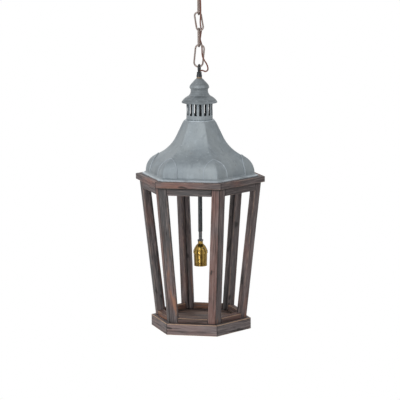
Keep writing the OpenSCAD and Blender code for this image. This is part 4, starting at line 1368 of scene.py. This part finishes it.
EYELET_PLACE = {"bearing": 6, "height": -35.8, "radius": 19.2, "lean": 2}
fixing("cap_screw", [(0, -1.5), (2.1, -1.5), (2.1, 0.1), (1.8, 0.6), (1.1, 0.95), (0, 1.05)], "socket_cap",
       DARK_STEEL, bearing=42, height=-18.5, radius=18.4, lean=-36)
fixing("shell_eyelet", [(1.1, -1.2), (3.1, -1.2), (3.1, 0.2), (2.6, 0.75), (1.9, 0.75), (1.1, 0.1)], "socket_shell",
       BRASS, cut=0.15, segments=32, **EYELET_PLACE)
fixing("eyelet_pin", [(0, -1.2), (1.3, -1.2), (1.3, -0.1), (0.8, 0.2), (0, 0.25)], "socket_shell", DARK_STEEL,
       **EYELET_PLACE)
print("screw and eyelet")

# %% [markdown]
# ### Inside the socket
# From below, the socket shows a paper sleeve, a rolled screw shell for the lamp, and a dark block with the contact.
# The screw shell's thread is coarse and round, so its wall is a wave that turns as it goes down: rings whose points
# move in and out by a sine of angle and height.

# %% Sleeve, screw shell and contact block
fibre = Finish("fibre_sleeve", "fibre")
fibre_cloud = fibre.cloud(300, detail=4)
FIBRE = fibre.finish(fibre.mix(fibre.between(fibre_cloud, 0.35, 0.7), (84, 70, 58), (118, 100, 82)), 0.8,
                     relief=fibre_cloud, depth=0.0002)
porcelain = Finish("contact_porcelain")
soot = porcelain.cloud(260, detail=3)
PORCELAIN = porcelain.finish(porcelain.mix(porcelain.between(soot, 0.4, 0.7), (52, 47, 43), (76, 70, 64)),
                             0.4, relief=soot, depth=0.0001)

LINER_R = RIM_R - BRASS_T - 0.3 - 0.9
liner_foot, liner_top = foot_of("socket_liner"), top_of("socket_liner")
liner_line = [(LINER_R - 0.8, liner_foot), (LINER_R, liner_foot), (LINER_R, liner_top), (LINER_R - 0.8, liner_top)]
add_piece("fibre_sleeve", turned(liner_line, cut=0.15), "lantern", "socket_liner", material=FIBRE)

shell_foot, shell_top = foot_of("screw_shell"), top_of("screw_shell")
THREAD_PITCH, THREAD_DEPTH, LAMP_R = 3.6, 0.35, 13.2
inner_wall, outer_wall = [], []
for i in range(61):
    height = shell_foot + (shell_top - shell_foot) * i / 60
    fading = min(1, i / 6, (60 - i) / 4)
    wave_at = [THREAD_DEPTH * fading * 0.5 * (1 + cos(2 * pi * (height / THREAD_PITCH - k / 72))) for k in range(72)]
    for wall, radius in ((inner_wall, LAMP_R), (outer_wall, LAMP_R + 0.45)):
        wall.append([((radius - 0.1 + d) * cos(2 * pi * k / 72), (radius - 0.1 + d) * sin(2 * pi * k / 72), height)
                     for k, d in enumerate(wave_at)])
screw_wall = stacked(inner_wall + outer_wall[::-1])
add_piece("screw_shell_wall", screw_wall, "lantern", "screw_shell", material=BRASS, sharp=60)

block_foot, block_top = foot_of("contact_block"), top_of("contact_block")
block_line = [(0, block_foot + 0.3), (3.6, block_foot + 0.3), (4, block_foot + 0.7), (4, block_foot + 2.5),
              (9, block_foot + 2.5), (9, block_foot), (15.3, block_foot), (15.3, block_top), (0, block_top)]
add_piece("contact_block_body", turned(block_line, cut=0.3), "lantern", "contact_block", material=PORCELAIN)
print("socket inside done")

# %% [markdown]
# ## Ceiling canopy
# The canopy is a shallow steel bowl against the ceiling, above the top of the picture. It is a turned piece with a
# rolled rim. Inside it, a flat strap with two screw holes is fixed to the ceiling box. The strap is a CAD shape that
# is already right, so a copy of it is merged and bevelled, and no more.

# %% Canopy and strap
CANOPY_R, CANOPY_H, CANOPY_FLAT_R, RIM_H = 60, 24, 16, 2


def canopy_line(inwards, steps=24):
    reach, drop = CANOPY_R - CANOPY_FLAT_R - inwards, CANOPY_H - RIM_H - inwards
    return [(CANOPY_FLAT_R + reach * cos(radians(90 * i / steps)), -RIM_H - drop * sin(radians(90 * i / steps)))
            for i in range(steps + 1)]


bowl = ([(CANOPY_R, -0.1), *canopy_line(0), (BORE_R, -CANOPY_H), (BORE_R, -CANOPY_H + SHEET)]
        + list(reversed(canopy_line(SHEET))) + [(CANOPY_R - SHEET, -0.1)])
add_piece("canopy_bowl", turned(bowl, cut=0.3, segments=128), "ceiling_fitting",
          "canopy", material=DARK_STEEL, sharp=44)
strap = merged_copy("mounting_strap")
bevel(strap, 40, 0.25, segments=1, profile=0.5)
add_piece("strap_plate", mesh_from(strap), "ceiling_fitting", "mounting_strap", material=GALVANISED, sharp=44)
# The cord inside the pipe stays the CAD node, with the cover of the rest
for hidden_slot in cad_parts["cord_in_pipe"].material_slots:
    hidden_slot.material = cord_cover
print("canopy and strap")

# %% [markdown]
# ## The end
